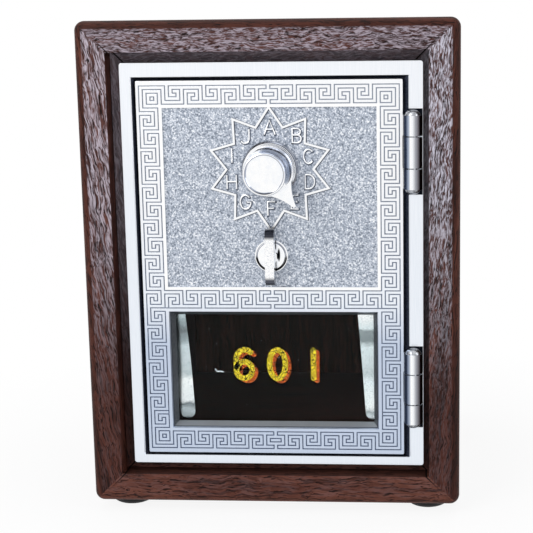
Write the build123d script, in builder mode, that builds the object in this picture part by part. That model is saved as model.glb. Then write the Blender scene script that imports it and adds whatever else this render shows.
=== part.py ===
from build123d import *
import math
import os

# A small die-cast letter-box door with a dial lock, set in a mitred walnut case that
# stands on rubber bumpers. All sizes are in millimetres.
# +X is to the right, +Y runs from the front to the back, +Z is up. The origin lies on the
# surface that the bumpers stand on, midway across the whole object and front to back.
# Depths are counted from the face of the door frame: positive goes into the case.

os.makedirs("parts", exist_ok=True)

# ---------------------------------------------------------------- wooden case
case_d = 114.0
board_t = 14.0
front_rim = 9.45            # board edge left in front, around the rebate
frame_gap_side = 2.45       # open gap between the frame and the rebate, left and right
frame_gap_end = 2.85        # and above and below
edge_round = 3.0
panel_t = 6.0
panel_rebate = 7.0          # how far the back rebate is cut into each board
panel_gap = 0.2
screw_sink = 0.1            # wood screw heads below their countersinks' edges
coin_slot_w = 38.0
coin_slot_h = 5.0
coin_slot_below_top = 34.0
panel_screw_inset = 3.4     # screw centre from the edge of the panel
foot_r = 7.5
foot_base_r = 5.0
foot_h = 3.2
foot_bulge_r = 6.7          # side of a foot a third of the way up
foot_bulge_h = 1.15
foot_inset_x = 10.0
foot_inset_y = 12.5

# ---------------------------------------------------------------- door frame
flange_side = 5.5           # flange beyond the door, left and right
flange_end = 4.5            # and above and below
flange_edge_r = 0.2
frame_dx = 0.8              # the maker set the frame a little off centre
frame_dz = -0.3
frame_corner = 0.9
flange_t = 3.4
flange_below_front = 3.6    # flange face behind the front of the wood
collar_d = 17.0             # flange face to the back of the collar
collar_wall = 2.4
shoulder_wall = 3.2         # thicker first step of the collar, behind the stop
shoulder_d = 5.6
bevel_d = 1.2
bevel_latch = 1.1
bevel_hinge = 1.65
bevel_top = 0.65
bevel_bottom = 0.3
strike_gap = 0.3            # notch in the collar, above and below the bolt
strike_slack = 1.05         # and in front of it

# ---------------------------------------------------------------- door casting
door_w = 81.0
door_h = 117.0
door_dx = -0.65
door_dz = -0.95
door_gap = 0.5
door_corner = 0.5
door_edge_r = 0.2
plate_t = 3.0
seat_gap = 0.3              # door plate to the stop behind it
stop_cover = 1.8            # how far the stop reaches over the door's edge
skirt_inset = 3.0
skirt_t = 1.6
skirt_d = 7.5
border_rim_side = 1.05      # door edge to the key border's outermost line
border_rim_end = 1.525
key_columns = 69            # spaces between the border's outermost lines
key_rows = 103
key_line_w = 0.33
key_depth = 0.5
band_lines = 6              # lines from the border's outer edge to the field or window
mid_band_top = 56           # lines down from the top of the border
mid_band_bottom = 63
window_draft = 1.55
field_recess = 0.6
star_tip_r = 19.1
star_valley_r = 13.6
star_line = 0.55
star_height = 0.45
star_points = 10

# ---------------------------------------------------------------- hinges
hinge_to_edge = 2.95        # hinge axis beyond the door's edge
hinge_depth = -1.2
upper_hinge_dz = 35.7
lower_hinge_dz = -37.5
knuckle_r = 2.9
end_knuckle = 6.3
mid_knuckle = 9.6
knuckle_gap = 0.35          # between knuckles, end to end
pin_r = 1.4
pin_head_r = 2.4
pin_head_h = 1.6
pin_crown_r = 0.6
pin_shoulder_r = 1.92       # domed head partway up
pin_shoulder_h = 0.96

# ---------------------------------------------------------------- fits
running_gap = 0.06          # radial, a spindle in its bearing
sliding_gap = 0.15
swing_gap = 0.3             # radial, round a hinge knuckle

# ---------------------------------------------------------------- dial
dial_drop_share = 0.34      # dial's axis below the top of the sunk field, in field heights
knob_skirt_r = 7.7
knob_pointer_reach = 13.5
knob_pointer_angle = -54.0
knob_pointer_tip = 0.9
knob_waist_r = 5.5
knob_rim_r = 6.45
knob_face_r = 5.7
knob_front = 14.0
knob_skirt_t = 3.1
knob_face_recess = 0.5
knob_face_slope = 0.3
knob_wall = 3.0             # metal in front of the spindle
knob_shoulder = 0.5         # step where the grip stands on the pointer skirt
knob_flank = 58.0           # angle from the pointer to where its flanks leave the skirt
knob_hollow = 17.0          # angle from the pointer to the hollow of a flank
knob_hollow_r = 8.78
knob_rim_turn_r = 6.32      # rim just behind the face
knob_rim_turn_h = 0.2
knob_flare_h = 3.2          # skirt to the grip's narrowest place
knob_rim_h = 0.9
dial_spindle_r = 2.5
dial_flange_r = 8.6
dial_flange_t = 1.7
dial_flange_chamfer = 0.5
bush_r = 4.3
bush_end = 6.4
nut_t = 2.0
nut_flats = 12.0
washer_t = 0.5
washer_r = 5.2

# ---------------------------------------------------------------- thumb turn
thumb_drop_share = 0.481    # thumb turn's axis below the dial's, in field heights
thumb_disc_r = 4.35
thumb_disc_gap = 0.2        # open ring round the disc
thumb_disc_proud = 0.3
thumb_ring_w = 0.55
thumb_flange_t = 1.3
thumb_well_d = 0.78
thumb_neck_r = 2.15
blade_w = 2.8
blade_h = 17.3
blade_corner = 2.75
blade_d = 3.5
blade_front = 6.0
blade_root = 0.5            # neck let into the blade
thumb_spindle_r = 2.25
thumb_tenon_r = 1.0         # front end of the spindle, riveted into the blade
thumb_tenon_depth = 4.0

# ---------------------------------------------------------------- lock behind the door
lock_plate_t = 1.5
lock_plate_depth = 7.0
lock_side_gap = 7.5         # lock plate inside the door's latch edge
lock_right = 21.5
lock_below_thumb = 7.95
lock_above_dial = 14.45
lock_plate_r = 3.0
lock_notch_side = 4.0       # upper left corner cut away as far as this beside the pillar
lock_notch_h = 24.0
bolt_t = 2.5
bolt_over = 0.4             # room between the bolt and the first wheel
bolt_nose_t = 1.75          # bevel on the bolt's tip
bolt_nose_l = 2.25
bolt_lift = 0.2             # bolt above the lock plate
bolt_bar_h = 6.5
bolt_bar_dz = 1.5           # bar's middle above the thumb turn's axis
bolt_tip_gap = 3.35         # drawn bolt inside the door's latch edge
bolt_tail_w = 19.0
bolt_tail_h = 17.5
crank_r = 6.0
crank_swing = 50.0
crank_pin_r = 1.2
cam_t = 1.5
cam_hub_r = 5.0
cam_taper = 80.0            # angle of the cam's sides to its hub
cam_lead = 0.1              # cam's face in front of the first wheel's
cam_collar_r = 4.4
fence_w = 3.0
fence_l = 4.0
fence_clear = 0.3
fence_over = 0.2            # fence beyond the last wheel
gate_d = 1.8                # how far the fence enters the wheels' gates
wheel_share = 0.376         # wheel's radius, in distances from the dial to the thumb turn
wheel_t = 1.2
wheel_play = 0.05
wheel_pitch = 1.8
wheel_hole_r = 1.3
wheel_count = 3
spacer_r = 3.6
drive_hub_r = 4.2
pickup_r = 6.2
pickup_pin_r = 0.5
pickup_pin_h = 0.42
back_plate_gap = 1.1        # last wheel to the back plate
back_plate_t = 1.5
pillar_r = 2.5
pillar_dx = 17.0
pillar_above_dial = 10.45
pillar_below_thumb = 4.55
back_plate_side = 4.2       # back plate beyond the pillars' axes
back_plate_end = 3.6
back_plate_r = 3.5
keeper_gap = 7.0            # keeper's middle from the lock plate's left edge
keeper_w = 6.0
keeper_t = 1.2
keeper_foot = 4.6
clip_r = 4.1
clip_t = 0.8
clip_play = 0.1             # clip thinner than its groove
clip_groove = 0.5
clip_mouth = 0.8            # clip's open side, in widths of its bore
spindle_tail = 1.6          # spindles' ends beyond the back plate
leaf_t = 0.6
leaf_w = 2.2
leaf_len = 24.0
leaf_bow = 1.5
leaf_hook = 3.0
leaf_lug_r = 1.2
leaf_gap = 0.05
lug_wall = 2.2              # lock plate left below the lugs

# ---------------------------------------------------------------- glass and its clips
glass_t = 2.2
glass_lap = 1.6             # glass beyond the back of the window opening
glass_gap = 0.3
glass_seat = 0.1            # bedding between the plate and the glass
glass_rib = 1.2
glass_rib_drop = 0.2        # glass stands this proud of its rib
clip_strip_w = 4.8
clip_strip_t = 0.5
clip_strip_tilt = 4.0
clip_rise_lines = 5.15      # clip screws above the window, in lines of the border
clip_reach = 1.5            # clips' ends beyond the window's lower edge
left_clip_inset = 1.2       # clip screws inside the window's edges
right_clip_inset = 4.7
clip_boss_r = 2.6

# ---------------------------------------------------------------- small screws
screw_r = 1.2
screw_head_r = 2.3
screw_head_h = 1.4
screw_head_taper = 15.0
small_slot_w = 0.5
small_slot_d = 0.6
wood_screw_r = 1.5
wood_screw_head_r = 3.0
wood_screw_l = 14.0
screw_slot_w = 0.7
screw_slot_d = 0.8
frame_screw_dz = 40.0
frame_screw_depth = 12.5
frame_screw_l = 12.0
frame_screw_taper = 20.0

# ---------------------------------------------------------------- places worked out
frame_w = door_w + 2 * flange_side
frame_h = door_h + 2 * flange_end
case_w = frame_w + 2 * (frame_gap_side + front_rim)
case_h = frame_h + 2 * (frame_gap_end + front_rim)
case_front_y = -(case_d - (knob_front - flange_below_front)) / 2
face_y = case_front_y + flange_below_front
case_mid_z = foot_h + case_h / 2
frame_z = case_mid_z + frame_dz
door_x = frame_dx + door_dx
door_z = frame_z + door_dz
hinge_x = door_x + door_w / 2 + hinge_to_edge
hinge_y = face_y + hinge_depth
rebate_d = flange_below_front + flange_t
throat_d = plate_t + seat_gap
knob_back = dial_flange_t - field_recess + washer_t + running_gap
bolt_depth = lock_plate_depth + lock_plate_t + bolt_lift
wheel_front = bolt_depth + bolt_t + bolt_over
cam_depth = wheel_front - cam_lead
wheel_stack_end = wheel_front + wheel_pitch * (wheel_count - 1) + wheel_t
back_plate_depth = wheel_stack_end + back_plate_gap
groove_depth = back_plate_depth + back_plate_t + running_gap
spindle_end = back_plate_depth + back_plate_t + spindle_tail
bolt_throw = 2 * crank_r * math.sin(math.radians(crank_swing / 2))
key_pitch_x = (door_w - 2 * border_rim_side) / key_columns
key_pitch_z = (door_h - 2 * border_rim_end) / key_rows
window_w = (key_columns - 2 * band_lines) * key_pitch_x
window_top = (key_rows / 2 - mid_band_bottom) * key_pitch_z
window_bottom = (band_lines - key_rows / 2) * key_pitch_z
window_h = window_top - window_bottom
window_mid = (window_top + window_bottom) / 2
field_bottom = (key_rows / 2 - mid_band_top) * key_pitch_z
field_top = (key_rows / 2 - band_lines) * key_pitch_z
field_h = field_top - field_bottom
dial_dz = field_top - dial_drop_share * field_h
thumb_drop = thumb_drop_share * field_h
thumb_dz = dial_dz - thumb_drop
wheel_r = wheel_share * thumb_drop
fence_r = thumb_drop - wheel_r + gate_d
upper_pillar_dz = dial_dz + pillar_above_dial
lower_pillar_dz = thumb_dz - pillar_below_thumb
lock_left = -door_w / 2 + lock_side_gap
lock_notch_w = -pillar_dx - lock_notch_side - lock_left
lock_bottom = thumb_dz - lock_below_thumb
lock_top = dial_dz + lock_above_dial
bolt_tip_dx = -door_w / 2 + bolt_tip_gap
keeper_dx = lock_left + keeper_gap
clip_rise = clip_rise_lines * key_pitch_z
clip_strip_top_dz = window_top + clip_rise
clip_strip_len = window_h + clip_rise - clip_reach
left_clip_dx = -window_w / 2 + left_clip_inset
right_clip_dx = window_w / 2 - right_clip_inset
tail_left = -bolt_tail_w / 2 + bolt_throw / 2
tail_bottom = thumb_dz + crank_r / 2 - bolt_tail_h / 2
leaf_dx = bolt_throw / 2
leaf_crown = tail_bottom - leaf_gap
lug_reach = leaf_len / 2 - leaf_t - leaf_lug_r - leaf_gap
lug_dz = leaf_crown - leaf_t - leaf_bow * (2 * lug_reach / leaf_len) ** 2 - leaf_lug_r - leaf_gap
glass_front = plate_t + glass_seat
glass_back = glass_front + glass_t
glass_w = window_w - 2 * window_draft + 2 * glass_lap
glass_h = window_h - 2 * window_draft + 2 * glass_lap


def frame_face(depth):
    """Plane parallel to the frame's face, that far into the case; local x is +X, y is +Z."""
    return Plane(origin=(frame_dx, face_y + depth, frame_z), x_dir=(1, 0, 0), z_dir=(0, -1, 0))


def door_face(depth):
    """The same, centred on the door casting."""
    return Plane(origin=(door_x, face_y + depth, door_z), x_dir=(1, 0, 0), z_dir=(0, -1, 0))


def case_face(y):
    """Plane across the case at that y, centred on the wooden case."""
    return Plane(origin=(0, y, case_mid_z), x_dir=(1, 0, 0), z_dir=(0, -1, 0))


def level(z):
    """Horizontal plane at that height, centred on the hinge axis."""
    return Plane(origin=(hinge_x, hinge_y, z))


def save(piece, name):
    piece.part.label = name
    export_step(piece.part, f"parts/{name}.step")


# ================================================================ wooden case
with BuildPart() as envelope:
    with BuildSketch(case_face(case_front_y)):
        Rectangle(case_w, case_h)
    extrude(amount=-case_d)
    fillet(envelope.edges(), radius=edge_round)

inner_w = case_w - 2 * board_t
inner_h = case_h - 2 * board_t
opening_w = case_w - 2 * front_rim
opening_h = case_h - 2 * front_rim
panel_hole_w = inner_w + 2 * panel_rebate
panel_hole_h = inner_h + 2 * panel_rebate


panel_w = panel_hole_w - 2 * panel_gap
panel_h = panel_hole_h - 2 * panel_gap
panel_back_y = case_front_y + case_d
panel_screw_xz = [
    (sx * (panel_w / 2 - panel_screw_inset), case_mid_z + sz * (panel_h / 2 - panel_screw_inset))
    for sx in (-1, 1)
    for sz in (-1, 0, 1)
]
screw_holes = [(x, panel_back_y - wood_screw_l / 2, z) for x, z in panel_screw_xz]

collar_inner_w = door_w - 2 * stop_cover
collar_inner_h = door_h - 2 * stop_cover
frame_screw_head_x = collar_inner_w / 2 - sliding_gap
frame_screw_holes = [
    (
        door_x + side * (collar_inner_w / 2 + frame_screw_l / 2),
        face_y + frame_screw_depth,
        frame_z + up * frame_screw_dz,
    )
    for side in (-1, 1)
    for up in (-1, 1)
]


def mitred_board(name, half_outer, half_inner, near, far, turned):
    """One board of the case: a trapezium seen from the front, run from front to back."""
    corners = [(-half_outer, far), (half_outer, far), (half_inner, near), (-half_inner, near)]
    if turned:
        corners = [(y, x) for x, y in corners]
    with BuildPart() as board:
        with BuildSketch(case_face(case_front_y)):
            Polygon(*corners, align=None)
        extrude(amount=-case_d)
        add(envelope.part, mode=Mode.INTERSECT)
        with BuildSketch(case_face(case_front_y)):
            Rectangle(opening_w, opening_h)
        extrude(amount=-rebate_d, mode=Mode.SUBTRACT)
        with BuildSketch(case_face(case_front_y + case_d)):
            Rectangle(panel_hole_w, panel_hole_h)
        extrude(amount=panel_t, mode=Mode.SUBTRACT)
        with Locations(*screw_holes):
            Cylinder(wood_screw_r, wood_screw_l, rotation=(90, 0, 0), mode=Mode.SUBTRACT)
        with Locations(*frame_screw_holes):
            Cylinder(wood_screw_r, frame_screw_l, rotation=(0, 90, 0), mode=Mode.SUBTRACT)
    save(board, name)


mitred_board("case_top", case_w / 2, case_w / 2 - board_t, case_h / 2 - board_t, case_h / 2, False)
mitred_board("case_bottom", case_w / 2, case_w / 2 - board_t, -case_h / 2 + board_t, -case_h / 2, False)
mitred_board("case_left", case_h / 2, case_h / 2 - board_t, -case_w / 2 + board_t, -case_w / 2, True)
mitred_board("case_right", case_h / 2, case_h / 2 - board_t, case_w / 2 - board_t, case_w / 2, True)

with BuildPart() as back_panel:
    with BuildSketch(case_face(panel_back_y)):
        Rectangle(panel_w, panel_h)
        with Locations((0, case_h / 2 - coin_slot_below_top)):
            SlotOverall(coin_slot_w, coin_slot_h, mode=Mode.SUBTRACT)
    extrude(amount=panel_t)
    with Locations(*[Plane(origin=(x, panel_back_y, z), z_dir=(0, 1, 0)) for x, z in panel_screw_xz]):
        CounterSinkHole(wood_screw_r, wood_screw_head_r, depth=panel_t)
save(back_panel, "back_panel")

with BuildPart() as back_screws:
    for x, z in panel_screw_xz:
        with BuildSketch(Plane(origin=(x, panel_back_y, z), x_dir=(1, 0, 0), z_dir=(0, 0, 1))):
            with BuildLine():
                Polyline(
                    (0, 0),
                    (wood_screw_head_r - screw_sink, 0),
                    (wood_screw_head_r - screw_sink, -screw_sink),
                    (wood_screw_r, -(wood_screw_head_r - wood_screw_r)),
                    (wood_screw_r, -wood_screw_l + wood_screw_r),
                    (0, -wood_screw_l),
                    close=True,
                )
            make_face()
        revolve(axis=Axis((x, panel_back_y, z), (0, 1, 0)))
        with BuildSketch(Plane(origin=(x, panel_back_y, z), x_dir=(1, 0, 0), z_dir=(0, -1, 0))):
            Rectangle(2 * wood_screw_head_r, screw_slot_w)
        extrude(amount=screw_slot_d, mode=Mode.SUBTRACT)
save(back_screws, "back_screws")

for side, side_name in ((-1, "left"), (1, "right")):
    for end, end_name in ((-1, "front"), (1, "rear")):
        foot_x = side * (case_w / 2 - foot_inset_x)
        foot_y = case_front_y + case_d / 2 + end * (case_d / 2 - foot_inset_y)
        with BuildPart() as foot:
            with BuildSketch(Plane(origin=(foot_x, foot_y, 0), x_dir=(1, 0, 0), z_dir=(0, -1, 0))):
                with BuildLine():
                    Line((0, 0), (foot_base_r, 0))
                    ThreePointArc(
                        (foot_base_r, 0),
                        (foot_bulge_r, foot_bulge_h),
                        (foot_r, foot_h),
                    )
                    Line((foot_r, foot_h), (0, foot_h))
                    Line((0, foot_h), (0, 0))
                make_face()
            revolve(axis=Axis((foot_x, foot_y, 0), (0, 0, 1)))
        save(foot, f"foot_{end_name}_{side_name}")

# ================================================================ door frame
throat_w = door_w + 2 * door_gap
throat_h = door_h + 2 * door_gap
mouth_w = throat_w + bevel_latch + bevel_hinge
mouth_h = throat_h + bevel_top + bevel_bottom
mouth_dx = door_dx + (bevel_hinge - bevel_latch) / 2
mouth_dz = door_dz + (bevel_top - bevel_bottom) / 2
strike_z = thumb_dz + bolt_bar_dz


def knuckle_spans(centre_z):
    """Heights (bottom, top) of the door's two end knuckles and of the frame's middle one."""
    half = mid_knuckle / 2
    middle = (centre_z - half + knuckle_gap / 2, centre_z + half - knuckle_gap / 2)
    above = (centre_z + half + knuckle_gap / 2, centre_z + half + end_knuckle)
    below = (centre_z - half - end_knuckle, centre_z - half - knuckle_gap / 2)
    return above, middle, below


hinge_centres = (frame_z + upper_hinge_dz, frame_z + lower_hinge_dz)

with BuildPart() as door_frame:
    with BuildSketch(frame_face(0)):
        RectangleRounded(frame_w, frame_h, frame_corner)
    extrude(amount=-flange_t)
    fillet(door_frame.faces().sort_by(Axis.Y)[0].edges(), radius=flange_edge_r)
    with BuildSketch(door_face(flange_t)):
        Rectangle(collar_inner_w + 2 * shoulder_wall, collar_inner_h + 2 * shoulder_wall)
    extrude(amount=-(shoulder_d - flange_t))
    with BuildSketch(door_face(flange_t)):
        Rectangle(collar_inner_w + 2 * collar_wall, collar_inner_h + 2 * collar_wall)
    extrude(amount=-(collar_d - flange_t))
    # the mouth: a bevel that narrows to the throat the door plate drops into
    with BuildSketch(frame_face(0)):
        with Locations((mouth_dx, mouth_dz)):
            Rectangle(mouth_w, mouth_h)
    with BuildSketch(door_face(bevel_d)):
        Rectangle(throat_w, throat_h)
    loft(mode=Mode.SUBTRACT)
    with BuildSketch(door_face(bevel_d)):
        Rectangle(throat_w, throat_h)
    extrude(amount=-(throat_d - bevel_d), mode=Mode.SUBTRACT)
    with BuildSketch(door_face(throat_d)):
        Rectangle(collar_inner_w, collar_inner_h)
    extrude(amount=-collar_d, mode=Mode.SUBTRACT)
    # notch in the collar that the bolt enters, open behind so that the casting leaves its die
    with BuildSketch(door_face(bolt_depth - strike_slack)):
        with Locations((-collar_inner_w / 2 - collar_wall / 2, strike_z)):
            Rectangle(2 * collar_wall, bolt_bar_h + 2 * strike_gap)
    extrude(amount=-collar_d, mode=Mode.SUBTRACT)
    # pockets for the door's knuckles, then the frame's own
    for centre_z in hinge_centres:
        above, middle, below = knuckle_spans(centre_z)
        pin_room = pin_head_h + swing_gap
        for low, high in (
            (above[0] - knuckle_gap / 2, above[1] + pin_room),
            (below[0] - pin_room, below[1] + knuckle_gap / 2),
        ):
            with BuildSketch(level(low)):
                Circle(knuckle_r + swing_gap)
                Rectangle(
                    hinge_to_edge,
                    2 * (knuckle_r + swing_gap),
                    align=(Align.MAX, Align.CENTER),
                )
            extrude(amount=high - low, mode=Mode.SUBTRACT)
        low, high = middle
        with BuildSketch(level(low)):
            Circle(knuckle_r)
        extrude(amount=high - low)
        with BuildSketch(level(below[0])):
            Circle(pin_r + running_gap)
        extrude(amount=above[1] - below[0], mode=Mode.SUBTRACT)
    # holes for the screws that hold the frame in the case
    with Locations(*frame_screw_holes):
        Cylinder(wood_screw_r, frame_screw_l, rotation=(0, 90, 0), mode=Mode.SUBTRACT)
save(door_frame, "door_frame")

with BuildPart() as frame_screws:
    for x, y, z in frame_screw_holes:
        side = 1 if x > 0 else -1
        head_x = x - side * frame_screw_l / 2
        with BuildSketch(Plane(origin=(head_x, y, z), x_dir=(0, 1, 0), z_dir=(side, 0, 0))):
            Circle(wood_screw_r)
        extrude(amount=frame_screw_l)
        with BuildSketch(Plane(origin=(head_x, y, z), x_dir=(0, 1, 0), z_dir=(-side, 0, 0))):
            Circle(wood_screw_head_r)
        extrude(amount=screw_head_h, taper=frame_screw_taper)
save(frame_screws, "frame_screws")

# ================================================================ door casting
boss_points = [
    (side * pillar_dx, dz)
    for side in (-1, 1)
    for dz in (lower_pillar_dz, upper_pillar_dz)
]
clip_points = [(left_clip_dx, clip_strip_top_dz), (right_clip_dx, clip_strip_top_dz)]


def star_corners(grow):
    """Corners of the star, moved out along their spokes by the given amount."""
    corners = []
    for step in range(2 * star_points):
        radius = (star_tip_r, star_valley_r)[step % 2] + grow
        angle = math.radians(90 + step * 180 / star_points)
        corners.append((radius * math.cos(angle), dial_dz + radius * math.sin(angle)))
    return corners


key_band_outer_w = key_columns * key_pitch_x + key_line_w
key_band_outer_h = key_rows * key_pitch_z + key_line_w
key_band_inner_w = (key_columns - 2 * (band_lines - 1)) * key_pitch_x - key_line_w
key_band_inner_h = (key_rows - 2 * (band_lines - 1)) * key_pitch_z - key_line_w
key_bar_top = (key_rows / 2 - mid_band_top - 1) * key_pitch_z + key_line_w / 2
key_bar_bottom = (key_rows / 2 - mid_band_bottom + 1) * key_pitch_z - key_line_w / 2

with BuildPart() as door_casting:
    with BuildSketch(door_face(0)):
        RectangleRounded(door_w, door_h, door_corner)
    extrude(amount=-plate_t)
    fillet(door_casting.faces().sort_by(Axis.Y)[0].edges(), radius=door_edge_r)
    with BuildSketch(door_face(plate_t)):
        Rectangle(door_w - 2 * skirt_inset, door_h - 2 * skirt_inset)
        Rectangle(
            door_w - 2 * (skirt_inset + skirt_t),
            door_h - 2 * (skirt_inset + skirt_t),
            mode=Mode.SUBTRACT,
        )
    extrude(amount=-(skirt_d - plate_t))
    # the sunk field that carries the dial
    with BuildSketch(door_face(0)):
        with Locations((0, (field_top + field_bottom) / 2)):
            Rectangle(window_w, field_h)
    extrude(amount=-field_recess, mode=Mode.SUBTRACT)
    # the window, wider in front than behind
    with BuildSketch(door_face(0)):
        with Locations((0, window_mid)):
            Rectangle(window_w, window_h)
    with BuildSketch(door_face(plate_t)):
        with Locations((0, window_mid)):
            Rectangle(window_w - 2 * window_draft, window_h - 2 * window_draft)
    loft(mode=Mode.SUBTRACT)
    # rib round the glass
    with BuildSketch(door_face(plate_t)):
        with Locations((0, window_mid)):
            Rectangle(glass_w + 2 * (glass_gap + glass_rib), glass_h + 2 * (glass_gap + glass_rib))
            Rectangle(glass_w + 2 * glass_gap, glass_h + 2 * glass_gap, mode=Mode.SUBTRACT)
    extrude(amount=-(glass_t + glass_seat - glass_rib_drop))
    # bosses for the lock and the glass clips
    with BuildSketch(door_face(plate_t)):
        with Locations(*boss_points):
            Circle(pillar_r)
    extrude(amount=-(lock_plate_depth - plate_t))
    with BuildSketch(door_face(plate_t)):
        with Locations(*clip_points):
            Circle(clip_boss_r)
    extrude(amount=-(glass_back - plate_t))
    # raised star round the dial
    with BuildSketch(door_face(field_recess)):
        Polygon(*star_corners(0), align=None)
        Polygon(*star_corners(-star_line), align=None, mode=Mode.SUBTRACT)
    extrude(amount=star_height)
    # screw holes and the two bush holes
    with BuildSketch(door_face(lock_plate_depth)):
        with Locations(*boss_points):
            Circle(screw_r)
    extrude(amount=lock_plate_depth - plate_t, mode=Mode.SUBTRACT)
    with BuildSketch(door_face(glass_back)):
        with Locations(*clip_points):
            Circle(screw_r)
    extrude(amount=glass_back - plate_t, mode=Mode.SUBTRACT)
    with BuildSketch(door_face(0)):
        with Locations((0, dial_dz), (0, thumb_dz)):
            Circle(bush_r)
    extrude(amount=-plate_t, mode=Mode.SUBTRACT)
    # hinge side: clear the frame's knuckles, then add the door's own
    for centre_z in hinge_centres:
        above, middle, below = knuckle_spans(centre_z)
        low, high = middle
        with BuildSketch(level(low - knuckle_gap)):
            Circle(knuckle_r + swing_gap)
        extrude(amount=high - low + 2 * knuckle_gap, mode=Mode.SUBTRACT)
        for low, high in (above, below):
            with BuildSketch(level(low)):
                Circle(knuckle_r)
                with Locations((0, -hinge_depth)):
                    Rectangle(
                        hinge_to_edge + skirt_inset,
                        knuckle_r + hinge_depth,
                        align=(Align.MAX, Align.MIN),
                    )
            extrude(amount=high - low)
            with BuildSketch(level(low)):
                Circle(pin_r)
            extrude(amount=high - low, mode=Mode.SUBTRACT)
    # floor of the key border, a sunk ring with a bar across between field and window
    with BuildSketch(door_face(0)):
        Rectangle(key_band_outer_w, key_band_outer_h)
        Rectangle(key_band_inner_w, key_band_inner_h, mode=Mode.SUBTRACT)
        with Locations((0, (key_bar_top + key_bar_bottom) / 2)):
            Rectangle(key_band_inner_w, key_bar_top - key_bar_bottom)
    extrude(amount=-key_depth, mode=Mode.SUBTRACT)
save(door_casting, "door_casting")

for centre_z, name in zip(hinge_centres, ("upper", "lower")):
    above, middle, below = knuckle_spans(centre_z)
    top = above[1] - centre_z
    bottom = below[0] - centre_z
    with BuildPart() as hinge_pin:
        pin_plane = Plane(origin=(hinge_x, hinge_y, centre_z), x_dir=(1, 0, 0), z_dir=(0, -1, 0))
        with BuildSketch(pin_plane):
            with BuildLine():
                Polyline((0, bottom - pin_head_h), (0, top + pin_head_h), (pin_crown_r, top + pin_head_h))
                ThreePointArc(
                    (pin_crown_r, top + pin_head_h),
                    (pin_shoulder_r, top + pin_shoulder_h),
                    (pin_head_r, top),
                )
                Polyline((pin_head_r, top), (pin_r, top), (pin_r, bottom), (pin_head_r, bottom))
                ThreePointArc(
                    (pin_head_r, bottom),
                    (pin_shoulder_r, bottom - pin_shoulder_h),
                    (pin_crown_r, bottom - pin_head_h),
                )
                Line((pin_crown_r, bottom - pin_head_h), (0, bottom - pin_head_h))
            make_face()
        revolve(axis=Axis((hinge_x, hinge_y, centre_z), (0, 0, 1)))
    save(hinge_pin, f"hinge_pin_{name}")

# ================================================================ glass and clips
with BuildPart() as window_glass:
    with BuildSketch(door_face(glass_front)):
        with Locations((0, window_mid)):
            Rectangle(glass_w, glass_h)
    extrude(amount=-glass_t)
save(window_glass, "window_glass")

for dx, name in ((left_clip_dx, "left"), (right_clip_dx, "right")):
    with BuildPart() as glass_clip:
        with BuildSketch(door_face(glass_back)):
            with Locations(Location((dx, clip_strip_top_dz), clip_strip_tilt)):
                with Locations((0, -clip_strip_len / 2)):
                    SlotCenterToCenter(clip_strip_len - clip_strip_w, clip_strip_w, rotation=90)
            with Locations((dx, clip_strip_top_dz)):
                Circle(clip_boss_r)
                Circle(screw_r, mode=Mode.SUBTRACT)
        extrude(amount=-clip_strip_t)
    save(glass_clip, f"glass_clip_{name}")


def pan_screws(points, head_depth, length):
    """Pan-head screws driven towards the front, heads at the given depth."""
    with BuildPart() as screws:
        with BuildSketch(door_face(head_depth)):
            with Locations(*points):
                Circle(screw_r)
        extrude(amount=length)
        with BuildSketch(door_face(head_depth)):
            with Locations(*points):
                Circle(screw_head_r)
        extrude(amount=-screw_head_h, taper=screw_head_taper)
        with BuildSketch(door_face(head_depth + screw_head_h)):
            with Locations(*points):
                Rectangle(2 * screw_head_r, small_slot_w)
        extrude(amount=small_slot_d, mode=Mode.SUBTRACT)
    return screws


save(pan_screws(clip_points, glass_back + clip_strip_t, glass_t + clip_strip_t), "clip_screws")

# ================================================================ bushes and nuts
with BuildPart() as dial_bush:
    with BuildSketch(door_face(field_recess)):
        with Locations((0, dial_dz)):
            Circle(dial_flange_r)
    extrude(amount=dial_flange_t)
    chamfer(dial_bush.faces().sort_by(Axis.Y)[0].edges(), length=dial_flange_chamfer)
    with BuildSketch(door_face(field_recess)):
        with Locations((0, dial_dz)):
            Circle(bush_r)
    extrude(amount=-(bush_end - field_recess))
    with BuildSketch(door_face(bush_end)):
        with Locations((0, dial_dz)):
            Circle(dial_spindle_r + running_gap)
    extrude(amount=bush_end + dial_flange_t, mode=Mode.SUBTRACT)
save(dial_bush, "dial_bush")

with BuildPart() as thumb_bush:
    with BuildSketch(door_face(field_recess)):
        with Locations((0, thumb_dz)):
            Circle(thumb_disc_r + thumb_disc_gap + thumb_ring_w)
    extrude(amount=thumb_flange_t)
    with BuildSketch(door_face(field_recess - thumb_flange_t)):
        with Locations((0, thumb_dz)):
            Circle(thumb_disc_r + thumb_disc_gap)
    extrude(amount=-thumb_well_d, mode=Mode.SUBTRACT)
    with BuildSketch(door_face(field_recess)):
        with Locations((0, thumb_dz)):
            Circle(bush_r)
    extrude(amount=-(bush_end - field_recess))
    with BuildSketch(door_face(bush_end)):
        with Locations((0, thumb_dz)):
            Circle(thumb_spindle_r + running_gap)
    extrude(amount=bush_end + thumb_flange_t, mode=Mode.SUBTRACT)
save(thumb_bush, "thumb_bush")

for dz, name in ((dial_dz, "dial"), (thumb_dz, "thumb")):
    with BuildPart() as bush_nut:
        with BuildSketch(door_face(plate_t)):
            with Locations((0, dz)):
                RegularPolygon(nut_flats / 2, 6, major_radius=False)
                Circle(bush_r, mode=Mode.SUBTRACT)
        extrude(amount=-nut_t)
    save(bush_nut, f"{name}_bush_nut")

# ================================================================ dial knob and spindle
pointer = math.radians(knob_pointer_angle)


def polar(radius, angle):
    return (radius * math.cos(angle), dial_dz + radius * math.sin(angle))


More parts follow.
